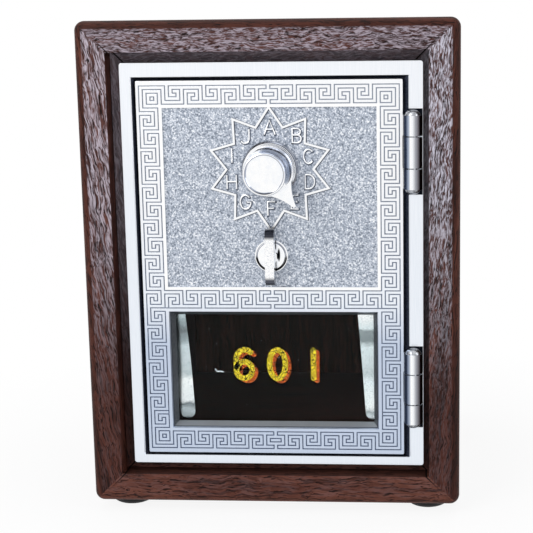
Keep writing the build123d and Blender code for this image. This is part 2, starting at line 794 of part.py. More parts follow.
with BuildPart() as dial_knob:
    # pointer skirt: a round plate drawn out to a tip by two hollow flanks
    with BuildSketch(door_face(-knob_back)):
        with Locations((0, dial_dz)):
            Circle(knob_skirt_r)
        flank = math.radians(knob_flank)
        inward = math.radians(knob_hollow)
        tip_half = math.atan(knob_pointer_tip / 2 / knob_pointer_reach)
        with BuildLine():
            ThreePointArc(
                polar(knob_skirt_r, pointer + flank),
                polar(knob_hollow_r, pointer + inward),
                polar(knob_pointer_reach, pointer + tip_half),
            )
            Line(
                polar(knob_pointer_reach, pointer + tip_half),
                polar(knob_pointer_reach, pointer - tip_half),
            )
            ThreePointArc(
                polar(knob_pointer_reach, pointer - tip_half),
                polar(knob_hollow_r, pointer - inward),
                polar(knob_skirt_r, pointer - flank),
            )
            Line(
                polar(knob_skirt_r, pointer - flank),
                polar(knob_skirt_r, pointer + flank),
            )
        make_face()
    extrude(amount=knob_skirt_t)
    # grip: hollow flare from the skirt to the rim, turned about the dial's axis
    skirt_front = knob_back + knob_skirt_t
    grip_r = knob_skirt_r - knob_shoulder
    knob_root = knob_skirt_t / 2
    with BuildSketch(Plane(origin=(door_x, face_y, door_z + dial_dz), x_dir=(1, 0, 0), z_dir=(0, 0, 1))):
        with BuildLine():
            Polyline((0, -skirt_front + knob_root), (grip_r, -skirt_front + knob_root), (grip_r, -skirt_front))
            ThreePointArc(
                (grip_r, -skirt_front),
                (knob_waist_r, -skirt_front - knob_flare_h),
                (knob_rim_r, -knob_front + knob_rim_h),
            )
            ThreePointArc(
                (knob_rim_r, -knob_front + knob_rim_h),
                (knob_rim_turn_r, -knob_front + knob_rim_turn_h),
                (knob_face_r, -knob_front),
            )
            Polyline(
                (knob_face_r, -knob_front),
                (knob_face_r - knob_face_slope, -knob_front + knob_face_recess),
                (0, -knob_front + knob_face_recess),
                (0, -skirt_front + knob_root),
            )
        make_face()
    revolve(axis=Axis((door_x, face_y, door_z + dial_dz), (0, 1, 0)))
    with BuildSketch(door_face(-knob_back)):
        with Locations((0, dial_dz)):
            Circle(dial_spindle_r)
    extrude(amount=knob_front - knob_back - knob_wall, mode=Mode.SUBTRACT)
save(dial_knob, "dial_knob")

with BuildPart() as dial_spindle:
    with BuildSketch(door_face(-(knob_front - knob_wall))):
        with Locations((0, dial_dz)):
            Circle(dial_spindle_r)
    extrude(amount=-(knob_front - knob_wall + spindle_end))
    with BuildSketch(door_face(groove_depth)):
        with Locations((0, dial_dz)):
            Circle(clip_r)
            Circle(dial_spindle_r - clip_groove, mode=Mode.SUBTRACT)
    extrude(amount=-clip_t, mode=Mode.SUBTRACT)
save(dial_spindle, "dial_spindle")


def ring(dz, outer, inner, depth, thickness):
    """A flat ring round one of the lock's axes."""
    with BuildPart() as washer:
        with BuildSketch(door_face(depth)):
            with Locations((0, dz)):
                Circle(outer)
                Circle(inner, mode=Mode.SUBTRACT)
        extrude(amount=-thickness)
    return washer


save(ring(dial_dz, washer_r, dial_spindle_r, -knob_back + running_gap / 2, washer_t), "knob_washer")

with BuildPart() as wheel_spacers:
    for gap in range(wheel_count):
        start = wheel_front + gap * wheel_pitch + wheel_t + wheel_play
        last = gap == wheel_count - 1
        thickness = (back_plate_depth - start if last else wheel_pitch - wheel_t) - 2 * wheel_play
        with BuildSketch(door_face(start)):
            with Locations((0, dial_dz)):
                Circle(spacer_r)
                Circle(dial_spindle_r, mode=Mode.SUBTRACT)
        extrude(amount=-thickness)
save(wheel_spacers, "wheel_spacers")

for dz, radius, name in ((dial_dz, dial_spindle_r, "dial"), (thumb_dz, thumb_spindle_r, "thumb")):
    with BuildPart() as spindle_clip:
        with BuildSketch(door_face(groove_depth)):
            with Locations((0, dz)):
                Circle(clip_r)
                Circle(radius - clip_groove, mode=Mode.SUBTRACT)
                with Locations((clip_r, 0)):
                    Rectangle(2 * clip_r, 2 * (radius - clip_groove) * clip_mouth, mode=Mode.SUBTRACT)
        extrude(amount=-(clip_t - clip_play))
    save(spindle_clip, f"{name}_spindle_clip")

# ================================================================ tumbler wheels
wheel_names = ("drive_wheel", "middle_wheel", "rear_wheel")
for index in range(wheel_count):
    depth = wheel_front + index * wheel_pitch
    bore = dial_spindle_r if index == 0 else dial_spindle_r + running_gap
    with BuildPart() as wheel:
        with BuildSketch(door_face(depth)):
            with Locations((0, dial_dz)):
                Circle(wheel_r)
                with PolarLocations(pickup_r, 4, start_angle=45):
                    Circle(wheel_hole_r, mode=Mode.SUBTRACT)
            # the gate: a scallop that lets the fence swing past
            with Locations((0, thumb_dz)):
                Circle(fence_r + fence_clear, mode=Mode.SUBTRACT)
        extrude(amount=-wheel_t)
        if index == 0:
            with BuildSketch(door_face(depth)):
                with Locations((0, dial_dz)):
                    Circle(drive_hub_r)
            extrude(amount=wheel_front - bolt_depth)
        if index < wheel_count - 1:
            with BuildSketch(door_face(depth + wheel_t)):
                with Locations((pickup_r, dial_dz)):
                    Circle(pickup_pin_r)
            extrude(amount=-pickup_pin_h)
        if index > 0:
            beside = 2 * pickup_pin_r + sliding_gap
            with BuildSketch(door_face(depth)):
                with Locations((pickup_r, dial_dz + beside)):
                    Circle(pickup_pin_r)
            extrude(amount=pickup_pin_h)
        with BuildSketch(door_face(bolt_depth)):
            with Locations((0, dial_dz)):
                Circle(bore)
        extrude(amount=-back_plate_depth, mode=Mode.SUBTRACT)
    save(wheel, wheel_names[index])

# ================================================================ thumb turn
with BuildPart() as thumb_turn:
    disc_back = field_recess - thumb_flange_t + thumb_well_d - running_gap
    disc_front = field_recess - thumb_flange_t - thumb_disc_proud
    with BuildSketch(door_face(disc_back)):
        with Locations((0, thumb_dz)):
            Circle(thumb_disc_r)
    extrude(amount=disc_back - disc_front)
    with BuildSketch(door_face(disc_front)):
        with Locations((0, thumb_dz)):
            Circle(thumb_neck_r)
    extrude(amount=disc_front + blade_front - blade_d + blade_root)
    # the blade, seen from the side: flat in front, round at both corners
    with BuildSketch(Plane(origin=(door_x - blade_w / 2, face_y, door_z + thumb_dz), x_dir=(0, 1, 0), z_dir=(1, 0, 0))):
        with Locations((-blade_front + blade_d / 2, 0)):
            Rectangle(blade_d, blade_h)
        fillet(vertices(Select.ALL).group_by(Axis.X)[0], radius=blade_corner)
    extrude(amount=blade_w)
    with BuildSketch(door_face(disc_back)):
        with Locations((0, thumb_dz)):
            Circle(thumb_tenon_r)
    extrude(amount=disc_back + thumb_tenon_depth, mode=Mode.SUBTRACT)
save(thumb_turn, "thumb_turn")

with BuildPart() as thumb_spindle:
    with BuildSketch(door_face(disc_back)):
        with Locations((0, thumb_dz)):
            Circle(thumb_spindle_r)
    extrude(amount=-(spindle_end - disc_back))
    with BuildSketch(door_face(disc_back)):
        with Locations((0, thumb_dz)):
            Circle(thumb_tenon_r)
    extrude(amount=disc_back + thumb_tenon_depth)
    with BuildSketch(door_face(groove_depth)):
        with Locations((0, thumb_dz)):
            Circle(clip_r)
            Circle(thumb_spindle_r - clip_groove, mode=Mode.SUBTRACT)
    extrude(amount=-clip_t, mode=Mode.SUBTRACT)
save(thumb_spindle, "thumb_spindle")

# ================================================================ bolt cam, crank pin, bolt
crank_angle = math.radians(90 - crank_swing / 2)
crank_dx = crank_r * math.cos(crank_angle)
crank_dz = crank_r * math.sin(crank_angle)

with BuildPart() as bolt_cam:
    with BuildSketch(door_face(cam_depth)):
        with Locations(Location((0, thumb_dz), 90 - crank_swing / 2)):
            Circle(cam_hub_r)
            Trapezoid(2 * cam_hub_r, fence_r, cam_taper, rotation=-90, align=(Align.CENTER, Align.MIN))
            with Locations((crank_r, 0)):
                Circle(crank_pin_r, mode=Mode.SUBTRACT)
            Circle(thumb_spindle_r, mode=Mode.SUBTRACT)
        with Locations((0, thumb_dz)):
            Circle(fence_r, mode=Mode.INTERSECT)
    extrude(amount=-cam_t)
    with BuildSketch(door_face(cam_depth)):
        with Locations(Location((0, thumb_dz), 90 - crank_swing / 2)):
            with Locations((fence_r - fence_l / 2, 0)):
                Rectangle(fence_l, fence_w)
        with Locations((0, thumb_dz)):
            Circle(fence_r, mode=Mode.INTERSECT)
    extrude(amount=-(wheel_stack_end - cam_depth + fence_over))
save(bolt_cam, "bolt_cam")

with BuildPart() as crank_pin:
    with BuildSketch(door_face(bolt_depth)):
        with Locations((crank_dx, thumb_dz + crank_dz)):
            Circle(crank_pin_r)
    extrude(amount=-(cam_depth + cam_t - bolt_depth))
save(crank_pin, "crank_pin")

with BuildPart() as cam_collar:
    with BuildSketch(door_face(cam_depth + cam_t)):
        with Locations((0, thumb_dz)):
            Circle(cam_collar_r)
            Circle(thumb_spindle_r, mode=Mode.SUBTRACT)
    extrude(amount=-(back_plate_depth - cam_depth - cam_t - 2 * wheel_play))
save(cam_collar, "cam_collar")

with BuildPart() as latch_bolt:
    with BuildSketch(door_face(bolt_depth)):
        with Locations((bolt_tip_dx, thumb_dz + bolt_bar_dz)):
            Rectangle(-bolt_tip_dx, bolt_bar_h, align=(Align.MIN, Align.CENTER))
        with Locations((tail_left, thumb_dz + crank_r / 2)):
            Rectangle(bolt_tail_w, bolt_tail_h, align=(Align.MIN, Align.CENTER))
        # slot that runs along the thumb turn's spindle
        with Locations((bolt_throw / 2, thumb_dz)):
            SlotCenterToCenter(bolt_throw, 2 * (thumb_spindle_r + sliding_gap), mode=Mode.SUBTRACT)
        # upright slot for the crank pin
        pin_rise = crank_r - crank_dz
        with Locations((crank_dx, thumb_dz + crank_dz + pin_rise / 2)):
            SlotCenterToCenter(
                pin_rise + 2 * sliding_gap,
                2 * (crank_pin_r + sliding_gap),
                rotation=90,
                mode=Mode.SUBTRACT,
            )
    extrude(amount=-bolt_t)
    chamfer(
        latch_bolt.faces().sort_by(Axis.X)[0].edges().sort_by(Axis.Y)[-1],
        length=bolt_nose_t,
        length2=bolt_nose_l,
    )
save(latch_bolt, "latch_bolt")

# ================================================================ lock plates, pillars, keeper
keeper_half = bolt_bar_h / 2 + sliding_gap
keeper_points = [
    (keeper_dx, thumb_dz + bolt_bar_dz + way * (keeper_half + keeper_t + keeper_foot / 2))
    for way in (-1, 1)
]

with BuildPart() as lock_plate:
    with BuildSketch(door_face(lock_plate_depth)):
        with Locations(((lock_left + lock_right) / 2, (lock_bottom + lock_top) / 2)):
            RectangleRounded(lock_right - lock_left, lock_top - lock_bottom, lock_plate_r)
        with Locations((lock_left, lock_top)):
            Rectangle(2 * lock_notch_w, 2 * lock_notch_h, mode=Mode.SUBTRACT)
        with Locations((leaf_dx, lock_bottom)):
            Rectangle(leaf_len + lug_wall, lock_bottom - lug_dz + lug_wall, align=(Align.CENTER, Align.MAX))
        with Locations(*boss_points, *keeper_points):
            Circle(screw_r, mode=Mode.SUBTRACT)
        with Locations((0, dial_dz), (0, thumb_dz)):
            Circle(bush_r + sliding_gap, mode=Mode.SUBTRACT)
    extrude(amount=-lock_plate_t)
    with BuildSketch(door_face(lock_plate_depth + lock_plate_t)):
        with Locations((leaf_dx - lug_reach, lug_dz), (leaf_dx + lug_reach, lug_dz)):
            Circle(leaf_lug_r)
    extrude(amount=-(bolt_lift + leaf_w))
save(lock_plate, "lock_plate")

with BuildPart() as bolt_keeper:
    side_plane = Plane(
        origin=(door_x + keeper_dx - keeper_w / 2, face_y + bolt_depth - bolt_lift, door_z + thumb_dz + bolt_bar_dz),
        x_dir=(0, 1, 0),
        z_dir=(1, 0, 0),
    )
    with BuildSketch(side_plane):
        rise = bolt_lift + bolt_t + sliding_gap
        Rectangle(rise + keeper_t, 2 * (keeper_half + keeper_t), align=(Align.MIN, Align.CENTER))
        Rectangle(keeper_t, 2 * (keeper_half + keeper_t + keeper_foot), align=(Align.MIN, Align.CENTER))
        Rectangle(rise, 2 * keeper_half, align=(Align.MIN, Align.CENTER), mode=Mode.SUBTRACT)
    extrude(amount=keeper_w)
    with BuildSketch(door_face(bolt_depth - bolt_lift)):
        with Locations(*keeper_points):
            Circle(screw_r)
    extrude(amount=-keeper_t, mode=Mode.SUBTRACT)
save(bolt_keeper, "bolt_keeper")
save(pan_screws(keeper_points, bolt_depth - bolt_lift + keeper_t, keeper_t + lock_plate_t), "keeper_screws")

with BuildPart() as lock_pillars:
    with BuildSketch(door_face(lock_plate_depth + lock_plate_t)):
        with Locations(*boss_points):
            Circle(pillar_r)
            Circle(screw_r, mode=Mode.SUBTRACT)
    extrude(amount=-(back_plate_depth - lock_plate_depth - lock_plate_t))
save(lock_pillars, "lock_pillars")

with BuildPart() as lock_back_plate:
    with BuildSketch(door_face(back_plate_depth)):
        with Locations((0, (lower_pillar_dz + upper_pillar_dz) / 2)):
            RectangleRounded(
                2 * (pillar_dx + back_plate_side),
                upper_pillar_dz - lower_pillar_dz + 2 * back_plate_end,
                back_plate_r,
            )
        with Locations(*boss_points):
            Circle(screw_r, mode=Mode.SUBTRACT)
        with Locations((0, dial_dz)):
            Circle(dial_spindle_r + running_gap, mode=Mode.SUBTRACT)
        with Locations((0, thumb_dz)):
            Circle(thumb_spindle_r + running_gap, mode=Mode.SUBTRACT)
    extrude(amount=-back_plate_t)
save(lock_back_plate, "lock_back_plate")
lock_screw_depth = back_plate_depth + back_plate_t
save(pan_screws(boss_points, lock_screw_depth, lock_screw_depth - plate_t), "lock_screws")

# bowed leaf under the bolt's tail; its turned-down ends sit outside the two lugs
left_end = (leaf_dx - leaf_len / 2, leaf_crown - leaf_bow)
right_end = (leaf_dx + leaf_len / 2, leaf_crown - leaf_bow)
with BuildPart() as bolt_spring:
    with BuildSketch(door_face(bolt_depth)):
        with BuildLine():
            ThreePointArc(left_end, (leaf_dx, leaf_crown), right_end)
            Line(right_end, (right_end[0], right_end[1] - leaf_t))
            ThreePointArc(
                (right_end[0], right_end[1] - leaf_t),
                (leaf_dx, leaf_crown - leaf_t),
                (left_end[0], left_end[1] - leaf_t),
            )
            Line((left_end[0], left_end[1] - leaf_t), left_end)
        make_face()
        with Locations(
            (leaf_dx - leaf_len / 2, leaf_crown - leaf_bow),
        ):
            Rectangle(leaf_t, leaf_hook, align=(Align.MIN, Align.MAX))
        with Locations(
            (leaf_dx + leaf_len / 2, leaf_crown - leaf_bow),
        ):
            Rectangle(leaf_t, leaf_hook, align=(Align.MAX, Align.MAX))
    extrude(amount=-leaf_w)
save(bolt_spring, "bolt_spring")
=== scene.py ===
# %% [markdown]
# # A letter-box door in a walnut case
# The object is a small bank: a die-cast letter-box door with a dial lock, hung in its own
# metal frame, which is sunk in a mitred walnut box on rubber feet. The imported model brings
# every piece at its true size and place. This lesson dresses those pieces, and adds what is
# too fine for the imported model: the key border's lands, the raised letters round the dial,
# the painted number, the painted shadow along the ridges and the wear.

import math
import random

import bmesh
import bpy
from mathutils import Matrix, Vector


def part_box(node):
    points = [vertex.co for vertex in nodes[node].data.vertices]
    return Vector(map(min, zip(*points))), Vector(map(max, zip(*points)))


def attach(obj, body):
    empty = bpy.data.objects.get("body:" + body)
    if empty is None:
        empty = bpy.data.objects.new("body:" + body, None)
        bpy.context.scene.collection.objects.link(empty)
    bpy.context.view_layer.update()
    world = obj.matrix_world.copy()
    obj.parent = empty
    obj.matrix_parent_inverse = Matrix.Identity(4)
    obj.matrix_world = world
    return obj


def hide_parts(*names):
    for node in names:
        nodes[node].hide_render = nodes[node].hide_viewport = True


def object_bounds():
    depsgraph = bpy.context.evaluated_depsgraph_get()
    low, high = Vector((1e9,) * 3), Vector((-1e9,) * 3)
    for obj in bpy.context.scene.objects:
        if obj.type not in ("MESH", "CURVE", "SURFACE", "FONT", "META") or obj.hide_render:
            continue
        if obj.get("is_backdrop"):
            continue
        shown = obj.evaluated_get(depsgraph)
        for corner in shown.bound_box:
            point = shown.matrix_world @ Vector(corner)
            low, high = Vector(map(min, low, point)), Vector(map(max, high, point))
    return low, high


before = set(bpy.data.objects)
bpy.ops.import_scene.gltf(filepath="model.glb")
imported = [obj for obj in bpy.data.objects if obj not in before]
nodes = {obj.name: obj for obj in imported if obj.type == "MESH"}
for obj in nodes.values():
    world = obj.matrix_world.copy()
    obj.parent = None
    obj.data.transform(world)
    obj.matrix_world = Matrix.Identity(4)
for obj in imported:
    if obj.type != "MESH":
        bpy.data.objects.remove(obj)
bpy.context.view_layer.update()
MM = 0.001

# %% [markdown]
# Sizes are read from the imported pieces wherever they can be, so that the dressing follows
# the model. The door's face is the level that most of the fine work is measured from.

# %% Places on the door
casting_low, casting_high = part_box("door_casting")
bush_low, bush_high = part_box("dial_bush")
thumb_low, thumb_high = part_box("thumb_bush")
glass_low, glass_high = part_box("window_glass")
door_x = (bush_low.x + bush_high.x) / 2
dial_z = (bush_low.z + bush_high.z) / 2
thumb_z = (thumb_low.z + thumb_high.z) / 2
door_z = (casting_low.z + casting_high.z) / 2
case_low, case_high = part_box("case_top")
front_y = case_low.y
case_half_w = (case_high.x - case_low.x) / 2
case_mid_z = (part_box("case_bottom")[0].z + case_high.z) / 2
case_half_h = case_high.z - case_mid_z
rebate_rim = 9.45 * MM
glass_back = glass_high.y
plate_t = 3.0 * MM
glass_seat = 0.1 * MM
face_y = glass_low.y - glass_seat - plate_t
print(f"door face at y {face_y / MM:.2f} mm, centre at z {door_z / MM:.2f} mm")

# %% [markdown]
# The photograph was taken a little from the right and from above, with a long lens. A long
# lens keeps the case's sides nearly parallel. The picture was cropped off centre, which a
# small sideways shift of the lens repeats.

# %% Camera
photo_px = 533
lens_px = 1338.5
camera_data = bpy.data.cameras.new("photo_camera")
camera_data.sensor_width = 36.0
camera_data.lens = lens_px / photo_px * camera_data.sensor_width
camera_data.shift_x = -0.15
camera = bpy.data.objects.new("photo_camera", camera_data)
bpy.context.scene.collection.objects.link(camera)
bpy.context.scene.camera = camera
camera.location = Vector((50.9, -451.0, 153.4)) * MM
pitch_down, turn_left, lean = (math.radians(a) for a in (10.47, 3.94, -0.68))
ahead = Vector((-math.sin(turn_left), math.cos(turn_left), 0))
right = Vector((math.cos(turn_left), math.sin(turn_left), 0))
up = Vector((0, 0, 1)) * math.cos(pitch_down) + ahead * math.sin(pitch_down)
ahead = ahead * math.cos(pitch_down) - Vector((0, 0, 1)) * math.sin(pitch_down)
right_leaned = right * math.cos(lean) + up * math.sin(lean)
up_leaned = up * math.cos(lean) - right * math.sin(lean)
axes = Matrix((right_leaned, up_leaned, -ahead)).transposed()
camera.rotation_mode = "QUATERNION"
camera.rotation_quaternion = axes.to_quaternion()
print(f"lens {camera_data.lens:.1f} mm")

# %% [markdown]
# Colours are written as sRGB hex values, the way a colour picker shows them, and Blender
# works in linear light. One function turns the first into the second. One more function adds
# a node: its settings are the node's own properties, and its inputs are either plain values
# or outputs of other nodes. Patterns are placed by the object's own coordinates in metres, so
# a length in millimetres on the real thing is the same length here.

# %% Colour and node helpers


def linear(hex_colour):
    """An sRGB hex colour as linear red, green, blue and alpha."""
    channels = [int(hex_colour[i:i + 2], 16) / 255 for i in (1, 3, 5)]
    light = [c / 12.92 if c <= 0.04045 else ((c + 0.055) / 1.055) ** 2.4 for c in channels]
    return (*light, 1.0)


def add(tree, kind, inputs=None, stops=(), out=0, **settings):
    """Adds a node and returns one of its outputs, or all where out is None; an input is a
    value, a hex colour, or the output that feeds it; stops are (place, grey or hex colour)."""
    made = tree.nodes.new("ShaderNode" + kind)
    for name, value in settings.items():
        setattr(made, name, value)
    for key, value in (inputs or {}).items():
        if isinstance(value, bpy.types.NodeSocket):
            tree.links.new(value, made.inputs[key])
        else:
            made.inputs[key].default_value = linear(value) if isinstance(value, str) else value
    for index, (place, level) in enumerate(stops):
        elements = made.color_ramp.elements
        element = elements[index] if index < len(elements) else elements.new(place)
        element.position = place
        element.color = linear(level) if isinstance(level, str) else (level, level, level, 1.0)
    return made.outputs if out is None else made.outputs[out]


def new_material(name, **shader):
    """A material with its Principled shader's plain values set; returns it with tree and shader."""
    made = bpy.data.materials.new(name)
    made.use_nodes = True
    principled = made.node_tree.nodes["Principled BSDF"]
    for key, value in shader.items():
        principled.inputs[key.replace("_", " ").title().replace("Ior", "IOR")].default_value = value
    return made, made.node_tree, principled


def dress(material, *names):
    """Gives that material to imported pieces."""
    for name in names:
        piece = nodes[name]
        if not piece.material_slots:
            piece.data.materials.append(material)
        for slot in piece.material_slots:
            slot.material = material


print("mid grey #808080 holds", round(linear("#808080")[0], 3), "of white's light")

# %% [markdown]
# ## Walnut
# Walnut is open-pored: long dark vessels run with the grain, the growth rings show as
# streaks, and the colour wanders from chocolate to a warm red brown. Curly figure breaks the
# streaks into short wavy flecks. The case is finished with a thin satin varnish that doesn't
# fill the pores. A painted sheen lies on the front faces, strongest at the top and fading
# downward: there the flecks are painted silky and grey, as a reflection. The rebate's walls and
# the inside of the case are painted darker, as shade. The grain is drawn in the board's own direction:
# noise that is stretched along the board gives the streaks, shorter noise the flecks, and
# the finest the vessels. A vessel is about 0.2 mm wide and 3 mm long. That is finer than the
# render shows, so the vessels are drawn about twice as coarse. The same noise drives the bump.

# %% Masks for the boards
# The painted sheen on the front faces fades out between these two heights.
sheen_low, sheen_high = 32 * MM, 118 * MM
wall_x, wall_z = case_half_w - rebate_rim, case_half_h - rebate_rim
seam_w_inside, seam_w_outside = 0.42 * MM, 0.1 * MM


def board_masks(tree, place):
    """Where the painted sheen of the front goes, the painted shade on the rebate's walls and inside the
    case, a mitre's seam, and the ledge behind the front.
    """
    axes = add(tree, "SeparateXYZ", {0: place}, out=None)
    facing = add(tree, "SeparateXYZ", {0: add(tree, "TexCoord", out="Normal")}, out="Y")
    side = add(tree, "Math", {0: axes["X"]}, operation="ABSOLUTE")
    rise = add(tree, "Math", {0: axes["Z"], 1: case_mid_z}, operation="SUBTRACT")
    rise = add(tree, "Math", {0: rise}, operation="ABSOLUTE")
    depth = add(tree, "Math", {0: axes["Y"], 1: front_y}, operation="SUBTRACT")

    front = add(tree, "MapRange", {0: facing, 1: -0.975, 2: -0.999})
    upper = add(
        tree, "MapRange", {0: axes["Z"], 1: sheen_low, 2: sheen_high, 3: 0.05, 4: 1.0},
        interpolation_type="SMOOTHSTEP",
    )
    shallow = add(tree, "MapRange", {0: depth, 1: 16 * MM, 2: 2 * MM})
    # This mask places a painted sheen, a reflection, on the front faces, fading toward the bottom.
    front_sheen = add(tree, "Math", {0: front, 1: upper}, operation="MULTIPLY")
    front_sheen = add(tree, "Math", {0: front_sheen, 1: shallow}, operation="MULTIPLY")
    ledge = add(tree, "MapRange", {0: depth, 1: 1 * MM, 2: 2 * MM})
    ledge = add(tree, "Math", {0: front_sheen, 1: ledge}, operation="MULTIPLY")

    # The rebate's walls and the surfaces inside the case are painted darker here, as shade.
    walls = add(tree, "Math", {0: 1.0, 1: front}, operation="SUBTRACT")
    for distance, wall in ((side, wall_x), (rise, wall_z)):
        inside = add(tree, "MapRange", {0: distance, 1: wall + 0.2 * MM, 2: wall + 0.05 * MM})
        walls = add(tree, "Math", {0: walls, 1: inside}, operation="MULTIPLY")

    off_seam = add(tree, "Math", {0: side, 1: case_half_w - case_half_h}, operation="SUBTRACT")
    off_seam = add(tree, "Math", {0: off_seam, 1: rise}, operation="SUBTRACT")
    off_seam = add(tree, "Math", {0: off_seam}, operation="ABSOLUTE")
    seam_w = add(
        tree, "MapRange", {0: side, 1: wall_x, 2: case_half_w, 3: seam_w_inside, 4: seam_w_outside}
    )
    seam = add(tree, "Math", {0: off_seam, 1: seam_w}, operation="DIVIDE")
    seam = add(tree, "MapRange", {0: seam, 1: 1.0, 2: 0.45})
    opened = add(
        tree, "MapRange", {0: side, 1: wall_x + 5 * MM, 2: wall_x + 0.5 * MM, 3: 0.12, 4: 1.0}
    )
    seam = add(tree, "Math", {0: seam, 1: opened}, operation="MULTIPLY")
    return front_sheen, walls, seam, ledge


print(f"mitres meet {wall_x / MM:.2f} mm from the middle")

# %% Walnut material
walnut_browns = ((0.24, "#28140F"), (0.43, "#40221B"), (0.56, "#532E25"), (0.78, "#6C4135"))
grain_turns = {"X": 0.0, "Z": math.pi / 2}


def walnut(
    name, grain_axis, seed, fleck_size, lean=0.0, sheen_colour="#C6BAC4", pale=0.0, is_panel=False
):
    """Satin walnut. Its grain runs along one axis and may lean from it, its flecks have that length
    and width, and paler wood has more of the light browns. A panel has no rebate and no mitres."""
    made, tree, shader = new_material(name, roughness=0.5, ior=1.5, specular_ior_level=0.1)
    place = add(tree, "TexCoord", out="Object")
    front_sheen, walls, seam, ledge = board_masks(tree, place)
    turned = add(tree, "Mapping", {
        "Vector": place, "Rotation": (0, grain_turns[grain_axis] + lean, 0),
        "Location": (seed, seed * 0.7, seed * 1.3),
    })
    wander = add(tree, "TexNoise", {"Vector": turned, "Scale": 1 / (9 * MM), "Detail": 2.0}, out="Color")
    wander = add(tree, "VectorMath", {0: wander, "Scale": 3.2 * MM}, operation="SCALE")
    wavy = add(tree, "VectorMath", {0: turned, 1: wander})

    def stretched(length, width, detail, roughness, distortion=0.0):
        """Noise drawn out along the grain."""
        scaled = add(tree, "Mapping", {"Vector": wavy, "Scale": (1 / length, 1 / width, 1 / width)})
        return add(tree, "TexNoise", {
            "Vector": scaled, "Scale": 1.0, "Detail": detail,
            "Roughness": roughness, "Distortion": distortion,
        })

    figure = stretched(70 * MM, 5 * MM, 5.0, 0.62, 0.8)
    streak = stretched(30 * MM, 0.9 * MM, 3.0, 0.6)
    fleck = stretched(*fleck_size, 3.0, 0.6, 0.5)
    vessel = stretched(4.2 * MM, 0.4 * MM, 2.0, 0.6)
    brown = add(tree, "ValToRGB", {0: figure}, stops=[(at - pale, c) for at, c in walnut_browns])
    dark_streak = add(tree, "ValToRGB", {0: streak}, stops=((0.36, 0.8), (0.52, 0.0)))
    streaked = add(tree, "Mix", {0: dark_streak, 6: brown, 7: "#210F0C"}, out=2, data_type="RGBA")
    pore = add(tree, "ValToRGB", {0: vessel}, stops=((0.36, 0.95), (0.45, 0.0)))
    pored = add(tree, "Mix", {0: pore, 6: streaked, 7: "#140A09"}, out=2, data_type="RGBA")
    # Painted sheen: the front's flecks take a grey silky colour, as a painted reflection.
    sheen_flecks = add(tree, "ValToRGB", {0: fleck}, stops=((0.42, 0.03), (0.51, 0.42), (0.6, 0.95)))
    clear = add(tree, "Math", {0: 1.0, 1: pore}, operation="SUBTRACT")
    sheen_flecks = add(tree, "Math", {0: sheen_flecks, 1: clear}, operation="MULTIPLY")
    sheen_flecks = add(tree, "Math", {0: sheen_flecks, 1: front_sheen}, operation="MULTIPLY")
    # Painted light: the shaded ledge behind the front is lifted toward the sheen colour.
    wear_and_sheen = add(tree, "Math", {0: ledge, 1: 0.4}, operation="MULTIPLY")
    colour = add(tree, "Mix", {0: sheen_flecks, 6: pored, 7: sheen_colour}, out=2, data_type="RGBA")
    colour = add(tree, "Mix", {0: wear_and_sheen, 6: colour, 7: sheen_colour}, out=2, data_type="RGBA")
    height = add(tree, "Math", {0: fleck, 1: 0.6, 2: vessel}, operation="MULTIPLY_ADD")
    if not is_panel:
        # Painted shade: the rebate's walls and the inside of the case are darkened toward near black.
        wall_shade = add(tree, "Math", {0: walls, 1: 0.62}, operation="MULTIPLY")
        colour = add(tree, "Mix", {0: wall_shade, 6: colour, 7: "#0E0A0B"}, out=2, data_type="RGBA")
        colour = add(tree, "Mix", {0: seam, 6: colour, 7: "#0D0706"}, out=2, data_type="RGBA")
        height = add(tree, "Math", {0: height, 1: seam}, operation="SUBTRACT")
    tree.links.new(colour, shader.inputs["Base Color"])
    bump = add(tree, "Bump", {"Height": height, "Strength": 0.3, "Distance": 0.1 * MM})
    tree.links.new(bump, shader.inputs["Normal"])
    return made


print(len(walnut_browns), "browns in the wood")

# %% Walnut on the boards
top_flecks, side_flecks = (2.2 * MM, 0.42 * MM), (2.5 * MM, 0.42 * MM)
long_flecks, broad_flecks = (5.5 * MM, 0.5 * MM), (5 * MM, 0.9 * MM)
panel_flecks = (12 * MM, 1.4 * MM)
leans_left, leans_right = math.radians(9), math.radians(-5)
# The colour given to a board here is the colour of the painted sheen on its front.
walnut_boards = {
    "case_top": walnut("walnut_top_board", "X", 0.31, top_flecks, sheen_colour="#B0A4AE"),
    "case_bottom": walnut("walnut_bottom_board", "X", 0.83, broad_flecks, pale=0.27),
    "case_left": walnut("walnut_left_board", "Z", 0.12, long_flecks, leans_left),
    "case_right": walnut("walnut_right_board", "Z", 0.57, side_flecks, leans_right, "#D2CEDA"),
    "back_panel": walnut("walnut_back_panel", "Z", 0.95, panel_flecks, is_panel=True),
}
for board, finish in walnut_boards.items():
    dress(finish, board)
print("walnut on", len(walnut_boards), "boards")

# %% [markdown]
# ## Die-cast white metal
# The door and its frame are pressure die-castings. Their flat faces were belt-sanded: bright,
# with a very fine grain, and on the door a painted highlight makes them brighter toward the top.
# Everything below the face is rougher. The field was blasted, so it is sandy and duller; the
# border's grooves, the gap round the door and the frame's bevel are painted dark as shade, so
# that the pattern reads. One material does all this, and asks how deep a point lies behind the
# door's face. The knuckles stand in front of the face. Their colour is a painted reflection: a
# bright band down their fronts and dark bluish sides.

# %% Levels and places on the casting
star_top = 0.15 * MM
letter_top = 0.38 * MM
groove_floor = 0.5 * MM
field_floor = 0.6 * MM
field_y = face_y + field_floor
door_half_w, door_half_h = 40.5 * MM, 58.5 * MM
field_half_w, field_high, field_low = 33.73 * MM, 51.45 * MM, -6.08 * MM
